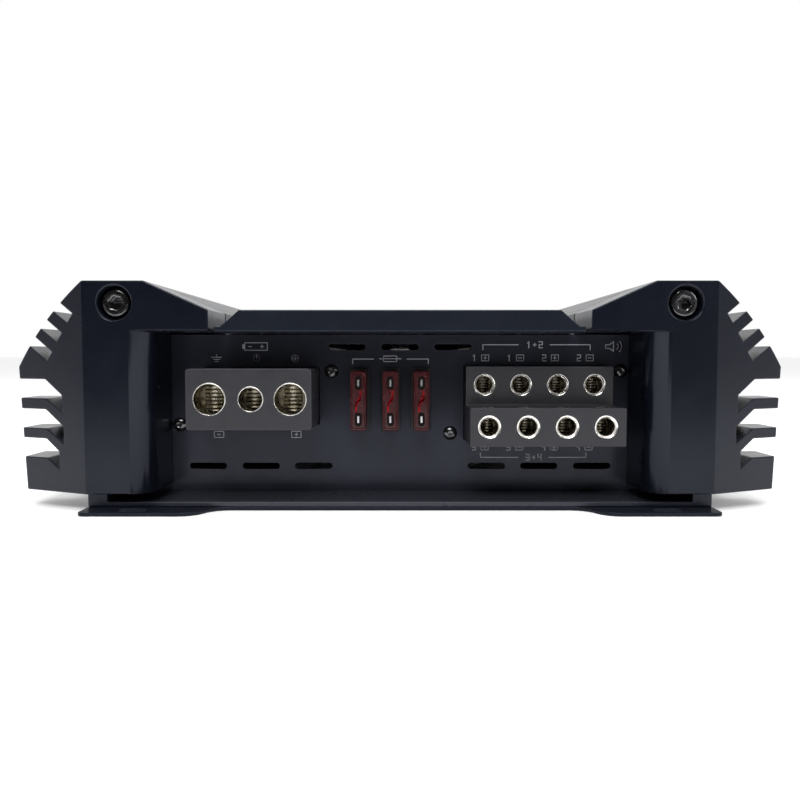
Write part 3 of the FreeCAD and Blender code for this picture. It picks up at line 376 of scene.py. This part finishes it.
def dress_nodes():
    """Gives each sub-part its material, and rounds the edges of the large ones."""
    slots = {s["node"]: s["material_slot"] for s in frame["record"]["subparts"]}
    for name, piece in NODES.items():
        material = NODE_MATERIALS.get(name, MATERIALS[slots[name]])
        for held in piece.material_slots:
            held.material = material
        if not piece.material_slots:
            piece.data.materials.append(material)
        if name in EDGE_MM:
            soften(piece, EDGE_MM[name])


# ---- mesh building, in millimetres ----
SHARP_DEG = 30  # edges of the new pieces that stay crisp
RING_SEGMENTS = 72


class Shape:
    """The points and faces of one new piece."""

    def __init__(self):
        self.points = []
        self.faces = []
        self.paint = []

    def add(self, points, faces, paint=0):
        first = len(self.points)
        self.points += [tuple(p) for p in points]
        self.faces += [[first + i for i in face] for face in faces]
        self.paint += [paint] * len(faces)

    def box(self, low, high, paint=0):
        x0, y0, z0 = low
        x1, y1, z1 = high
        points = [(x, y, z) for x in (x0, x1) for y in (y0, y1) for z in (z0, z1)]
        faces = [(0, 1, 3, 2), (4, 6, 7, 5), (0, 4, 5, 1), (2, 3, 7, 6), (0, 2, 6, 4), (1, 5, 7, 3)]
        self.add(points, faces, paint)

    def lathe(self, at, axis, profile, segments=48, paint=0):
        """Turns a profile round an axis. Its entries are (radius, distance along the axis,
        and optionally a function of the angle that scales the radius)."""
        axis = Vector(axis).normalized()
        side = axis.orthogonal().normalized()
        other = axis.cross(side)
        points, rings = [], []
        for entry in profile:
            radius, along = entry[0], entry[1]
            shape = entry[2] if len(entry) > 2 else None
            centre = Vector(at) + axis * along
            if radius == 0:
                rings.append([len(points)] * segments)
                points.append(centre)
                continue
            ring = []
            for i in range(segments):
                angle = 2 * math.pi * i / segments
                r = radius * (shape(i, angle) if shape else 1)
                ring.append(len(points))
                points.append(centre + side * (r * math.cos(angle)) + other * (r * math.sin(angle)))
            rings.append(ring)
        faces = []
        for a, b in zip(rings, rings[1:]):
            for i in range(segments):
                j = (i + 1) % segments
                face = [a[i], a[j], b[j], b[i]]
                face = [v for k, v in enumerate(face) if v != face[k - 1]]
                if len(face) > 2:
                    faces.append(face)
        self.add(points, faces, paint)

    def plate(self, outline, y0, y1, paint=0):
        """A flat outline in X and Z, given thickness along Y."""
        n = len(outline)
        points = [(x, y, z) for y in (y0, y1) for x, z in outline]
        faces = [list(range(n)), list(range(2 * n - 1, n - 1, -1))]
        faces += [[i, n + i, n + (i + 1) % n, (i + 1) % n] for i in range(n)]
        self.add(points, faces, paint)

    def make(self, name, materials, slot, body=CHASSIS, replaces=()):
        mesh = bpy.data.meshes.new(name)
        mesh.from_pydata([tuple(c * MM for c in p) for p in self.points], [], self.faces)
        for material in materials:
            mesh.materials.append(material)
        mesh.polygons.foreach_set("material_index", self.paint)
        mesh.polygons.foreach_set("use_smooth", [True] * len(mesh.polygons))
        piece = bpy.data.objects.new(name, mesh)
        bpy.context.scene.collection.objects.link(piece)
        tidy_normals(mesh)
        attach(piece, body)
        if replaces:
            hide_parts(*replaces)


def tidy_normals(mesh):
    """Faces look outward, and sharp edges stay crisp."""
    work = bmesh.new()
    work.from_mesh(mesh)
    bmesh.ops.recalc_face_normals(work, faces=work.faces)
    for edge in work.edges:
        if len(edge.link_faces) == 2:
            edge.smooth = edge.calc_face_angle(0) < math.radians(SHARP_DEG)
    work.to_mesh(mesh)
    work.free()


# ---- fasteners ----
CAP_HEAD = (4.25, 5.0, 4.0)  # radius, height and key of the end cap screws
PANEL_HEAD = (2.35, 1.3, 1.5)
KNURL = 0.965  # the knurling's valleys, as a share of the head's radius
DOME_ANGLES = (0.62, 0.75, 0.9, 1.05, 1.2, 1.25)  # from the dome's top to its rim, in radians
DOME_HEIGHT = 0.86  # share of a button head's height


def hexed(i, angle):
    """Scales a circle of the inner radius to a hexagon."""
    return 1 / math.cos((angle % (math.pi / 3)) - math.pi / 6)


def knurled(i, angle):
    """Scales every second point of a circle inward."""
    return 1.0 if i % 2 else KNURL


def cap_screw(shape, at, axis, radius, height, key):
    """Knurled socket head: the head's face is at the point and looks along the axis."""
    deep, socket = height * 0.55, key / 2
    shape.lathe(at, axis, [
        (0, -deep - 0.5), (socket * 0.7, -deep), (socket, -deep, hexed), (socket, -0.15, hexed),
        (socket * 1.22, 0), (radius - 0.7, 0), (radius - 0.35, -0.12),
        (radius, -0.5, knurled), (radius, -height + 0.3, knurled), (radius - 0.3, -height),
        (radius * 0.55, -height), (0, -height)], RING_SEGMENTS)


def button_screw(shape, at, axis, radius, height, key):
    """Domed head with a hexagon socket. The point is the top of the dome."""
    rim = DOME_ANGLES[-1]
    dome = [(radius * math.sin(a) / math.sin(rim),
             -height * DOME_HEIGHT * (1 - math.cos(a)) / (1 - math.cos(rim)))
            for a in DOME_ANGLES]
    socket = key / 2
    well = [(0, -height * 0.95), (socket * 0.7, -height * 0.9), (socket, -height * 0.9, hexed),
            (socket, -0.25, hexed), (socket * 1.25, -0.16)]
    shape.lathe(at, axis, well + dome + [(radius, -height), (0, -height)])


def cap_screw_heads():
    """The four heads, each sunk as deep as the screw it stands for."""
    heads = Shape()
    node = "end_cap_screws"
    x, z = span(node)[1][0] - CAP_HEAD[0], middle(node)[1]
    for side in (-1, 1):
        face = min(corner_depths(node, side * x))
        cap_screw(heads, (side * x, face, z), (0, -1, 0), *CAP_HEAD)
        cap_screw(heads, (-side * x, -face, z), (0, 1, 0), *CAP_HEAD)
    heads.make(node[:-1] + "_heads", [MATERIALS["screw_black"]], "screw_black", replaces=[node])


def corner_depths(node, x):
    """Y of the points of a node that lie around one X, in millimetres."""
    piece = NODES[node]
    places = [piece.matrix_world @ v.co for v in piece.data.vertices]
    return [p.y / MM for p in places if abs(p.x / MM - x) < CAP_HEAD[0] + 0.1]


def head_centres(node):
    """The middles of a node's separate screws in X and Z, in millimetres."""
    piece = NODES[node]
    centres = []
    for vertex in piece.data.vertices:
        place = piece.matrix_world @ vertex.co
        x, z = place.x / MM, place.z / MM
        for group in centres:
            if math.hypot(group[0][0] - x, group[0][1] - z) < 3 * PANEL_HEAD[0]:
                group.append((x, z))
                break
        else:
            centres.append([(x, z)])
    return [((min(p[0] for p in g) + max(p[0] for p in g)) / 2,
             (min(p[1] for p in g) + max(p[1] for p in g)) / 2) for g in centres]


def panel_screw_heads():
    """The button heads on both panels."""
    for end, out, edge in (("terminal", -1, 0), ("control", 1, 1)):
        node = end + "_panel_screws"
        y = span(node)[edge][1]
        heads = Shape()
        for x, z in head_centres(node):
            button_screw(heads, (x, y, z), (0, out, 0), *PANEL_HEAD)
        heads.make(end + "_panel_screw_heads", [MATERIALS["screw_black"]], "screw_black",
                   replaces=[node])


# ---- terminals ----
CREST, LIP, WALL, ROOT = range(4)  # the materials of a port's liner, in their order
TURN_PITCH, TURN_DEPTH = 0.5, 0.09  # turning marks down the bore
WALL_STEPS, END_STEPS = 20, 14
END_THICK = 0.3
SCREW_GAP = 0.05  # between the clamp screw and the threads round it
OPEN_GAP = 0.03  # between the clamp screw and the opening in the bore's top
PORT_LOOKS = {  # rim past the bore, mouth's flare and depth, stand-off, thread pitch and depth
    "power": (0.33, (0.15, 0.3), 0.12, 1.2, 0.5),
    "speaker": (1.12, (0.95, 2.0), 0.05, 0.9, 0.36),
}


def port_ring(shape, at, bore, rim, depth, mouth, proud, screw):
    """Plated ring round a port, with a flared mouth and turning marks down the bore. It is
    left open where the clamp screw comes down through its top."""
    flare, deep = mouth
    x, y, z = at
    centre = (x, y - proud, z)
    ring = Shape()
    ring.lathe(centre, (0, -1, 0), [
        (rim, -depth), (rim, -0.12), (rim - 0.12, 0.0), (bore + flare, 0.0),
        (bore + flare * 0.85, -0.08), (bore + flare * 0.3, -deep * 0.3),
        (bore + flare * 0.12, -deep * 0.5), (bore, -deep)], RING_SEGMENTS, LIP)
    turns = int((depth - deep) / TURN_PITCH)
    profile = [(bore, -deep)]
    for i in range(turns):
        start = -deep - i * (depth - deep) / turns
        profile += [(bore + TURN_DEPTH, start - TURN_PITCH / 2), (bore, start - TURN_PITCH)]
    ring.lathe(centre, (0, -1, 0), profile, RING_SEGMENTS, WALL)
    screw_y, screw_r = screw
    kept = []
    for face, paint in zip(ring.faces, ring.paint):
        corners = [ring.points[i] for i in face]
        near = min(math.hypot(p[0] - x, p[1] - screw_y) for p in corners)
        if near > screw_r + OPEN_GAP or max(p[2] for p in corners) < z:
            kept.append((face, paint))
    first = len(shape.points)
    shape.points += ring.points
    shape.faces += [[first + i for i in face] for face, _ in kept]
    shape.paint += [paint for _, paint in kept]


def tapped_wall(shape, at, radius, end, bore, pitch, cut):
    """The back of the clamp screw's upright hole, behind the port's flat end: crests that clear the
    screw, and roots between them painted dark as shade."""
    x, screw_y, z = at

    def strip(rows, paint):
        points = []
        for r, height in rows:
            reach = math.acos((end - screw_y) / r)
            for k in range(WALL_STEPS + 1):
                turn = reach * (2 * k / WALL_STEPS - 1)
                points.append((x + r * math.sin(turn), screw_y + r * math.cos(turn), z + height))
        width = WALL_STEPS + 1
        faces = [[a * width + k, a * width + k + 1, (a + 1) * width + k + 1, (a + 1) * width + k]
                 for a in range(len(rows) - 1) for k in range(WALL_STEPS)]
        shape.add(points, faces, paint)

    root = radius + cut
    for i in range(round(2 * bore / pitch)):
        low = -bore + i * pitch
        rise, top, fall = (low + pitch * share for share in (0.22, 0.5, 0.72))
        strip([(root, low), (root, rise)], ROOT)
        strip([(root, rise), (radius, top), (radius, fall), (root, low + pitch)], CREST)


def bored_end(shape, x, z, bore, inner, y):
    """The flat end of the port on each side of the upright hole."""
    start = math.acos(min(1.0, inner / bore))
    half = bore * math.sin(start)
    for side in (-1, 1):
        outline = [(x + side * inner, z - half), (x + side * inner, z + half)]
        for k in range(END_STEPS + 1):
            angle = start - 2 * start * k / END_STEPS
            outline.append((x + side * bore * math.cos(angle), z + bore * math.sin(angle)))
        shape.plate(outline, y, y + END_THICK, WALL)


def port_liners(kind):
    """The liners of all power or all speaker ports. A speaker port's stated bore starts behind
    its flared mouth."""
    liners = Shape()
    past, mouth, proud, pitch, cut = PORT_LOOKS[kind]
    ahead = mouth[1] if kind == "speaker" else 0
    for name, mount in MOUNTS.items():
        if not name.startswith(kind + "_port_"):
            continue
        x, y, z = [c / MM for c in mount["pos_m"]]
        bore, length = mount["dims"]["r_mm"], mount["dims"]["length_mm"]
        front, end = y - length / 2 - ahead, y + length / 2
        low, high = span(name.replace("port", "clamp_screw"))
        screw_y, screw_r = (low[1] + high[1]) / 2, (high[0] - low[0]) / 2
        clear = screw_r + SCREW_GAP
        inner = math.sqrt(clear ** 2 - (end - screw_y) ** 2)
        port_ring(liners, (x, front, z), bore, bore + past, end - front, mouth, proud,
                  (screw_y, screw_r))
        tapped_wall(liners, (x, screw_y, z), clear, end, bore, pitch, cut)
        bored_end(liners, x, z, bore, min(inner, bore), end)
    return liners


def dress_ports():
    """A plated liner in every port."""
    # the speaker ports' threads are darkened as painted shade
    for kind, thread in (("power", MATERIALS["nickel"]), ("speaker", SHADED_NICKEL)):
        port_liners(kind).make(kind + "_port_liners", [thread, MOUTH, BORE, SHADED_THREAD_ROOT],
                               "nickel", replaces=[kind + "_inserts"])


# ---- printed marks ----
LINE, FINE, BOXED, SIGN, NUMBER = 0.28, 0.24, 0.26, 0.3, 0.32  # widths of the strokes
BATTERY = (-48.3, 51.5)  # X and Z of the marks on the terminal panel, in millimetres
EARTH = (-61.6, 47.5)
SWITCHED_FEED = (-48.2, 47.5)
POSITIVE = (-35.2, 47.5)
FUSE_SYMBOL = (-3.3, 47.4)
LOUDSPEAKER = (71.9, 51.5)
UNDER_POWER = ((-61.1, 21.9, False), (-35.0, 21.9, True))  # boxed minus and plus
UNDER_POWER_SIZE = (3.2, 2.1)
CHANNEL_ROWS = ((47.7, 1), (17.6, 3))  # Z and the first channel
CHANNEL_STEP = 11.7
BRIDGE_X = 45.2
BRIDGES = (  # Z of the bracket and of its hooks, its outer and inner ends, first channel
    (52.1, 50.4, (27.8, 39.6), (63.8, 50.4), 1),
    (14.1, 15.6, (27.2, 39.9), (62.8, 50.4), 3),
)
KNOB_SWEEP = 140  # degrees that a level knob turns each way
SCALE_MARKS = 11
SCALE_INNER, SCALE_SHORT, SCALE_LONG = 5.6, 6.6, 7.2


class Print:
    """Flat printed marks on a panel's face. Heights and places are in X and Z."""

    def __init__(self, y, out, proud=0.05, sunk=0.02):
        self.shape = Shape()
        self.y0, self.y1 = sorted([y + out * proud, y - out * sunk])

    def bar(self, x0, z0, x1, z1, width=LINE):
        dx, dz = x1 - x0, z1 - z0
        length = math.hypot(dx, dz)
        ux, uz = dx / length * width / 2, dz / length * width / 2
        outline = [(x0 - ux - uz, z0 - uz + ux), (x0 - ux + uz, z0 - uz - ux),
                   (x1 + ux + uz, z1 + uz - ux), (x1 + ux - uz, z1 + uz + ux)]
        self.shape.plate(outline, self.y0, self.y1)

    def path(self, points, width=LINE):
        for a, b in zip(points, points[1:]):
            self.bar(*a, *b, width)

    def frame(self, x, z, w, h, width=LINE):
        self.path([(x - w / 2, z - h / 2), (x + w / 2, z - h / 2), (x + w / 2, z + h / 2),
                   (x - w / 2, z + h / 2), (x - w / 2, z - h / 2)], width)

    def arc(self, x, z, r, start, end, width=LINE, steps=16):
        angles = [math.radians(start + (end - start) * i / steps) for i in range(steps + 1)]
        self.path([(x + r * math.cos(a), z + r * math.sin(a)) for a in angles], width)

    def sign(self, x, z, plus, size=0.9):
        self.bar(x - size / 2, z, x + size / 2, z, SIGN)
        if plus:
            self.bar(x, z - size / 2, x, z + size / 2, SIGN)

    def boxed_sign(self, x, z, plus, w=2.4, h=2.0):
        self.frame(x, z, w, h, BOXED)
        self.sign(x, z, plus)

    def digit(self, x, z, value, h=2.0):
        """A number from 1 to 4, drawn with straight strokes."""
        w = h * 0.55
        l, r, b, m, t = x - w / 2, x + w / 2, z - h / 2, z, z + h / 2
        strokes = {
            1: [[(l + w * 0.15, t - h * 0.2), (x, t), (x, b)]],
            2: [[(l, t), (r, t), (r, m), (l, m), (l, b), (r, b)]],
            3: [[(l, t), (r, t), (r, b), (l, b)], [(l, m), (r, m)]],
            4: [[(l, t), (l, m), (r, m)], [(r, t), (r, b)]],
        }
        for stroke in strokes[value]:
            self.path(stroke, NUMBER)

    def make(self, name, slot):
        self.shape.make(name, [INK], slot)


def battery(ink, x, z):
    ink.frame(x, z, 7.6, 2.5)
    ink.bar(x - 4.3, z - 0.5, x - 4.3, z + 0.5, 0.5)
    ink.sign(x + 2.0, z, True)
    ink.sign(x - 2.0, z, False)


def earth(ink, x, z):
    ink.bar(x, z + 1.2, x, z + 0.4)
    for i in range(3):
        half, height = 1.7 - 0.6 * i, z + 0.4 - 0.7 * i
        ink.bar(x - half, height, x + half, height)


def switched_feed(ink, x, z):
    ink.arc(x, z, 1.05, 125, 415)
    ink.bar(x, z + 0.1, x, z + 1.3)


def positive(ink, x, z):
    ink.arc(x, z, 1.15, 0, 360)
    ink.sign(x, z, True, 1.1)


def fuse_symbol(ink, x, z):
    """A fuse, between brackets that reach to the outer fuses."""
    ink.frame(x, z, 4.4, 1.9)
    ink.bar(x - 3.6, z, x + 3.6, z)
    for near, far in ((-5.6, -12.6), (5.7, 12.8)):
        ink.path([(x + near, z - 0.1), (x + far, z - 0.1), (x + far, z - 1.6)])


def loudspeaker(ink, x, z):
    """The point is the middle of its sound waves."""
    ink.path([(x - 2.9, z - 0.6), (x - 1.7, z - 0.6), (x - 0.3, z - 1.6), (x - 0.3, z + 1.6),
              (x - 1.7, z + 0.6), (x - 2.9, z + 0.6), (x - 2.9, z - 0.6)])
    ink.arc(x, z, 1.3, -45, 45, BOXED, 6)
    ink.arc(x, z, 2.4, -45, 45, BOXED, 8)


def channel_row(ink, z, first):
    """Two channels' numbers, each with its plus and minus over or under the ports."""
    start = MOUNTS["speaker_port_upper_1"]["pos_m"][0] / MM
    for i in range(4):
        x = start + i * CHANNEL_STEP
        ink.digit(x - 2.6, z, first + i // 2)
        ink.boxed_sign(x + 1.0, z, i % 2 == 0)


def bridge(ink, row, hook, left, right, first):
    """Bracket over or under two bridged channels. Left and right are each its outer end
    and its inner end."""
    ink.path([(left[0], hook), (left[0], row), (left[1], row)])
    ink.path([(right[1], row), (right[0], row), (right[0], hook)])
    ink.digit(BRIDGE_X - 2.0, row, first)
    ink.sign(BRIDGE_X, row, True)
    ink.digit(BRIDGE_X + 2.0, row, first + 1)


def terminal_marks():
    """Symbols in place of words: battery, earth, switched feed, fuse, loudspeaker."""
    ink = Print(span("terminal_panel")[0][1], -1)
    battery(ink, *BATTERY)
    earth(ink, *EARTH)
    switched_feed(ink, *SWITCHED_FEED)
    positive(ink, *POSITIVE)
    for x, z, plus in UNDER_POWER:
        ink.boxed_sign(x, z, plus, *UNDER_POWER_SIZE)
    fuse_symbol(ink, *FUSE_SYMBOL)
    for z, first in CHANNEL_ROWS:
        channel_row(ink, z, first)
    for bracket in BRIDGES:
        bridge(ink, *bracket)
    loudspeaker(ink, *LOUDSPEAKER)
    ink.make("terminal_panel_marks", "panel_black")


def level_scale(ink, x, z, number):
    """Scale round a level knob, with its two signs under it and its number over it. The
    number is drawn the way it reads from the terminal end."""
    for step in range(SCALE_MARKS):
        angle = math.radians(90 + KNOB_SWEEP * (2 * step / (SCALE_MARKS - 1) - 1))
        outer = SCALE_LONG if step % 5 == 0 else SCALE_SHORT
        ink.bar(x + SCALE_INNER * math.cos(angle), z + SCALE_INNER * math.sin(angle),
                x + outer * math.cos(angle), z + outer * math.sin(angle), FINE)
    for side in (-1, 1):
        ink.sign(x - side * 5.4, z - 6.6, side > 0, 1.2)
    ink.digit(x, z + 10.0, number)


def switch_marks(ink, x, z):
    """Three places over a switch, and two filter slopes under it."""
    for dx in (-2.6, 0.0, 2.6):
        ink.bar(x + dx, z + 3.0, x + dx, z + 4.2, FINE)
    ink.path([(x - 4.2, z - 4.6), (x - 1.0, z - 4.6), (x + 1.2, z - 6.6)], FINE)
    ink.path([(x + 4.2, z - 6.6), (x + 2.6, z - 6.6), (x + 0.6, z - 4.6)], FINE)


def control_marks():
    """Scales round the level knobs, switch positions, and rings round the phono jacks."""
    ink = Print(span("control_panel")[1][1], 1)
    for i in range(4):
        level_scale(ink, *middle("level_knob_%d" % (i + 1)), 1 + i)
    for i in range(2):
        switch_marks(ink, *middle("switch_slider_%d" % (i + 1)))
    for name, mount in MOUNTS.items():
        if name.startswith("rca_jack"):
            x, _, z = (c / MM for c in mount["pos_m"])
            ink.arc(x, z, 6.3, 0, 360, FINE, 32)
    ink.make("control_panel_marks", "panel_black")


# ---- fuses ----
TAB_Z = 5.85  # test tabs and blades, out from the fuse's middle
BLADE_Z = 5.6
RECESS = 0.7  # depth of the recess in the fuse's top
WELL = (1.05, 2.15, 1.0)  # half width, half length and corner radius of a test tab's well
WELL_BACK, WELL_FRONT = 0.05, 0.3  # behind and in front of the recess's bottom
TAB = (0.3, 1.05)  # half thickness and half width
TAB_SPAN = (0.12, 5.0)  # from the fuse's top
BLADE = (0.33, 2.6)
BLADE_FROM = 4.0
LINK_WIDTH = 0.55
LINK_PROUD, LINK_SUNK = 0.22, 0.1
LINK_BENDS = [(-0.7, -3.2), (-0.75, -1.3), (0.7, 0.6), (-0.65, -0.5), (0.7, 1.4), (0.7, 3.2)]
CORNER_STEPS, WELL_STEPS = 5, 9
METAL, LINK, HOLLOW = range(3)  # the materials of a fuse's metal, in their order; the last is the wells' painted shade
HEAD = 7.3  # length of the wide head


def rounded_ring(points, x, y, z, half_x, half_z, corner, steps=CORNER_STEPS):
    """One rounded rectangle's points, added to the list. Returns their numbers."""
    ring = []
    for k, (qx, qz) in enumerate(((1, 1), (-1, 1), (-1, -1), (1, -1))):
        for i in range(steps):
            turn = math.pi / 2 * (k + i / (steps - 1))
            ring.append(len(points))
            points.append((x + qx * (half_x - corner) + corner * math.cos(turn), y,
                           z + qz * (half_z - corner) + corner * math.sin(turn)))
    return ring


def fuse_shell(x, top, z, half_x, half_z, length):
    """Moulded body with a rim round a recessed top, a wide head and a narrower waist."""
    shell = Shape()
    # distance from the top, then how far inside the full width and thickness, then the corner
    section = [(RECESS, 1.5, 0.95, 0.4), (RECESS, 0.95, 0.62, 0.5), (0.12, 0.75, 0.45, 0.6),
               (0.0, 0.65, 0.36, 0.65), (0.0, 0.3, 0.14, 0.7), (0.25, 0.0, 0.0, 0.8),
               (HEAD, 0.0, 0.0, 0.8), (HEAD + 0.3, 0.3, 0.2, 0.7), (HEAD + 0.4, 1.1, 0.42, 0.5),
               (length, 1.15, 0.47, 0.5)]
    points = []
    rings = [rounded_ring(points, x, top + deep, z, half_x - in_x, half_z - in_z, corner)
             for deep, in_z, in_x, corner in section]
    faces = [rings[0][::-1], rings[-1]]
    count = len(rings[0])
    for a, b in zip(rings, rings[1:]):
        faces += [[a[k], a[(k + 1) % count], b[(k + 1) % count], b[k]] for k in range(count)]
    shell.add(points, faces)
    return shell


def fuse_link(x, top, z, blade_end):
    """Blades, bright tab ends in wells painted dark as shade, and the folded link between them."""
    base = top + RECESS
    link = Print(base, -1, LINK_PROUD, LINK_SUNK)
    link.path([(x + dx, z + dz) for dx, dz in LINK_BENDS], LINK_WIDTH)
    metal = link.shape
    metal.paint = [LINK] * len(metal.paint)
    for side in (-1, 1):
        tab, blade = z + side * TAB_Z, z + side * BLADE_Z
        points = []
        back, face = [rounded_ring(points, x, y, tab, *WELL, WELL_STEPS)
                      for y in (base + WELL_BACK, base - WELL_FRONT)]
        count = len(back)
        sides = [[back[k], back[(k + 1) % count], face[(k + 1) % count], face[k]]
                 for k in range(count)]
        metal.add(points, [back, face[::-1]] + sides, HOLLOW)
        metal.box((x - TAB[0], top + TAB_SPAN[0], tab - TAB[1]),
                  (x + TAB[0], top + TAB_SPAN[1], tab + TAB[1]), METAL)
        metal.box((x - BLADE[0], top + BLADE_FROM, blade - BLADE[1]),
                  (x + BLADE[0], blade_end, blade + BLADE[1]), METAL)
    return metal


def dress_fuses():
    """A clear body, and the metal in it, for each of the three fuses."""
    for i in (1, 2, 3):
        body, blades, rider = "fuse_body_%d" % i, "fuse_blades_%d" % i, "fuse_%d" % i
        low, high = span(body)
        x, z = middle(body)
        shell = fuse_shell(x, low[1], z, high[0] - x, high[2] - z, high[1] - low[1])
        shell.make(rider + "_shell", [MATERIALS["fuse_red"]], "fuse_red", rider, [body])
        metal = fuse_link(x, low[1], z, span(blades)[1][1])
        metal.make(rider + "_link", [MATERIALS["fuse_metal"], FUSE_LINK, FUSE_WELL_SHADE],
                   "fuse_metal", rider, [blades])


# ---- stage, light and camera ----
FLOOR_HALF = 60.0  # lengths in metres from here on
ROOM_FRONT = 0.02  # the room behind the camera is nearly dark
ROOM_RIGHT = 0.36
ROOM_BACK = 1.2
DEPTH_FADE = (-0.62, -0.05)  # directions in Y and X between which the room changes
RIGHT_FADE = (0.24, 0.42)
FLAG_AHEAD = 0.24  # from the amplifier's front to the black card
FLAG_FAR = -2.6
FLAG_HALF = 1.2
FLAG_UP = 0.002
LIGHTS = {  # place, target, size, and power in watts
    "key_above": ((0.0, -0.2, 1.3), (0, 0, 0), (1.6, 1.2), 9),
    "front_high": ((-0.05, -0.65, 0.55), (0, -0.14, 0.02), (0.40, 0.24), 3.2),
    "front_right": ((0.55, -0.60, 0.30), (0.08, -0.15, 0.03), (0.12, 0.20), 0.5),
}
SENSOR_MM, LENS_MM = 36.0, 34.2
CAMERA_BACK = 0.233  # in front of the end caps' faces
CAMERA_UP = 0.048
CAMERA_DIP = 3.24  # degrees below level
CLIP_START = 0.01


def sheet(name, low, high, z):
    """A level rectangle between two corners."""
    mesh = bpy.data.meshes.new(name)
    mesh.from_pydata([(low[0], low[1], z), (high[0], low[1], z), (high[0], high[1], z),
                      (low[0], high[1], z)], [], [(0, 1, 2, 3)])
    piece = bpy.data.objects.new(name, mesh)
    bpy.context.scene.collection.objects.link(piece)
    return piece


def floor():
    """A wide pale floor that glows a little, so that it stays white."""
    ground = sheet("floor", (-FLOOR_HALF, -FLOOR_HALF), (FLOOR_HALF, FLOOR_HALF), 0)
    paper = Finish("pale_floor", (0.96, 0.96, 0.96), 0.7)
    paper.set(Emission_Color=(1, 1, 1, 1), Emission_Strength=0.20)
    ground.data.materials.append(paper.mottle(2, 0.01).done())


def ramp(tree, value, fade, low, high):
    """Goes smoothly from low to high while the value crosses the fade."""
    node = tree.nodes.new("ShaderNodeMapRange")
    node.interpolation_type = "SMOOTHSTEP"
    for socket, number in zip(("From Min", "From Max", "To Min", "To Max"), (*fade, low, high)):
        node.inputs[socket].default_value = number
    tree.links.new(value, node.inputs["Value"])
    return node.outputs["Result"]


def room():
    """White where it is seen directly. To the amplifier the room is bright behind, dim at the
    right and nearly dark in front."""
    world = bpy.data.worlds.new("studio")
    bpy.context.scene.world = world
    world.use_nodes = True
    tree = world.node_tree
    white = tree.nodes["Background"]
    white.inputs["Color"].default_value = (1, 1, 1, 1)
    dim = tree.nodes.new("ShaderNodeBackground")
    place = tree.nodes.new("ShaderNodeTexCoord")
    split = tree.nodes.new("ShaderNodeSeparateXYZ")
    both = tree.nodes.new("ShaderNodeMath")
    both.operation = "MAXIMUM"
    tree.links.new(place.outputs["Generated"], split.inputs["Vector"])
    tree.links.new(ramp(tree, split.outputs["Y"], DEPTH_FADE, ROOM_FRONT, ROOM_BACK),
                   both.inputs[0])
    tree.links.new(ramp(tree, split.outputs["X"], RIGHT_FADE, 0.0, ROOM_RIGHT), both.inputs[1])
    tree.links.new(both.outputs["Value"], dim.inputs["Strength"])
    seen = tree.nodes.new("ShaderNodeLightPath")
    mix = tree.nodes.new("ShaderNodeMixShader")
    tree.links.new(seen.outputs["Is Camera Ray"], mix.inputs["Fac"])
    tree.links.new(dim.outputs["Background"], mix.inputs[1])
    tree.links.new(white.outputs["Background"], mix.inputs[2])
    tree.links.new(mix.outputs["Shader"], tree.nodes["World Output"].inputs["Surface"])
    bpy.context.scene.view_settings.view_transform = "Standard"


def flag():
    """A black card on the floor in front, seen only in the coats' reflections."""
    near = CAD_BOX[0].y - FLAG_AHEAD
    card = sheet("flag", (-FLAG_HALF, FLAG_FAR), (FLAG_HALF, near), FLAG_UP)
    felt = Finish("black_felt", (0.004, 0.004, 0.005), 0.9)
    card.data.materials.append(felt.mottle(60, 0.2).done())
    card.visible_camera = False
    card.visible_diffuse = False
    card.visible_shadow = False
    card.visible_transmission = False


def softbox(name, at, target, size, power):
    """A rectangular light that looks from its place to its target."""
    light = bpy.data.lights.new(name, "AREA")
    light.shape = "RECTANGLE"
    light.size, light.size_y = size
    light.energy = power
    lamp = bpy.data.objects.new(name, light)
    bpy.context.scene.collection.objects.link(lamp)
    look = Vector(target) - Vector(at)
    lamp.matrix_world = Matrix.Translation(at) @ look.to_track_quat("-Z", "Y").to_matrix().to_4x4()


def camera():
    """Close to the terminal end, a little above its middle and looking slightly down."""
    data = bpy.data.cameras.new("camera")
    data.sensor_width = SENSOR_MM
    data.lens = LENS_MM
    data.clip_start = CLIP_START
    eye = bpy.data.objects.new("camera", data)
    bpy.context.scene.collection.objects.link(eye)
    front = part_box("end_cap_front_left")[0][1]
    eye.location = (0.0, front - CAMERA_BACK, CAMERA_UP)
    eye.rotation_euler = (math.radians(90 - CAMERA_DIP), 0, 0)
    bpy.context.scene.camera = eye


floor()
room()
flag()
for name, settings in LIGHTS.items():
    softbox(name, *settings)
camera()
dress_nodes()
cap_screw_heads()
panel_screw_heads()
dress_ports()
dress_fuses()
terminal_marks()
control_marks()

bpy.context.view_layer.update()
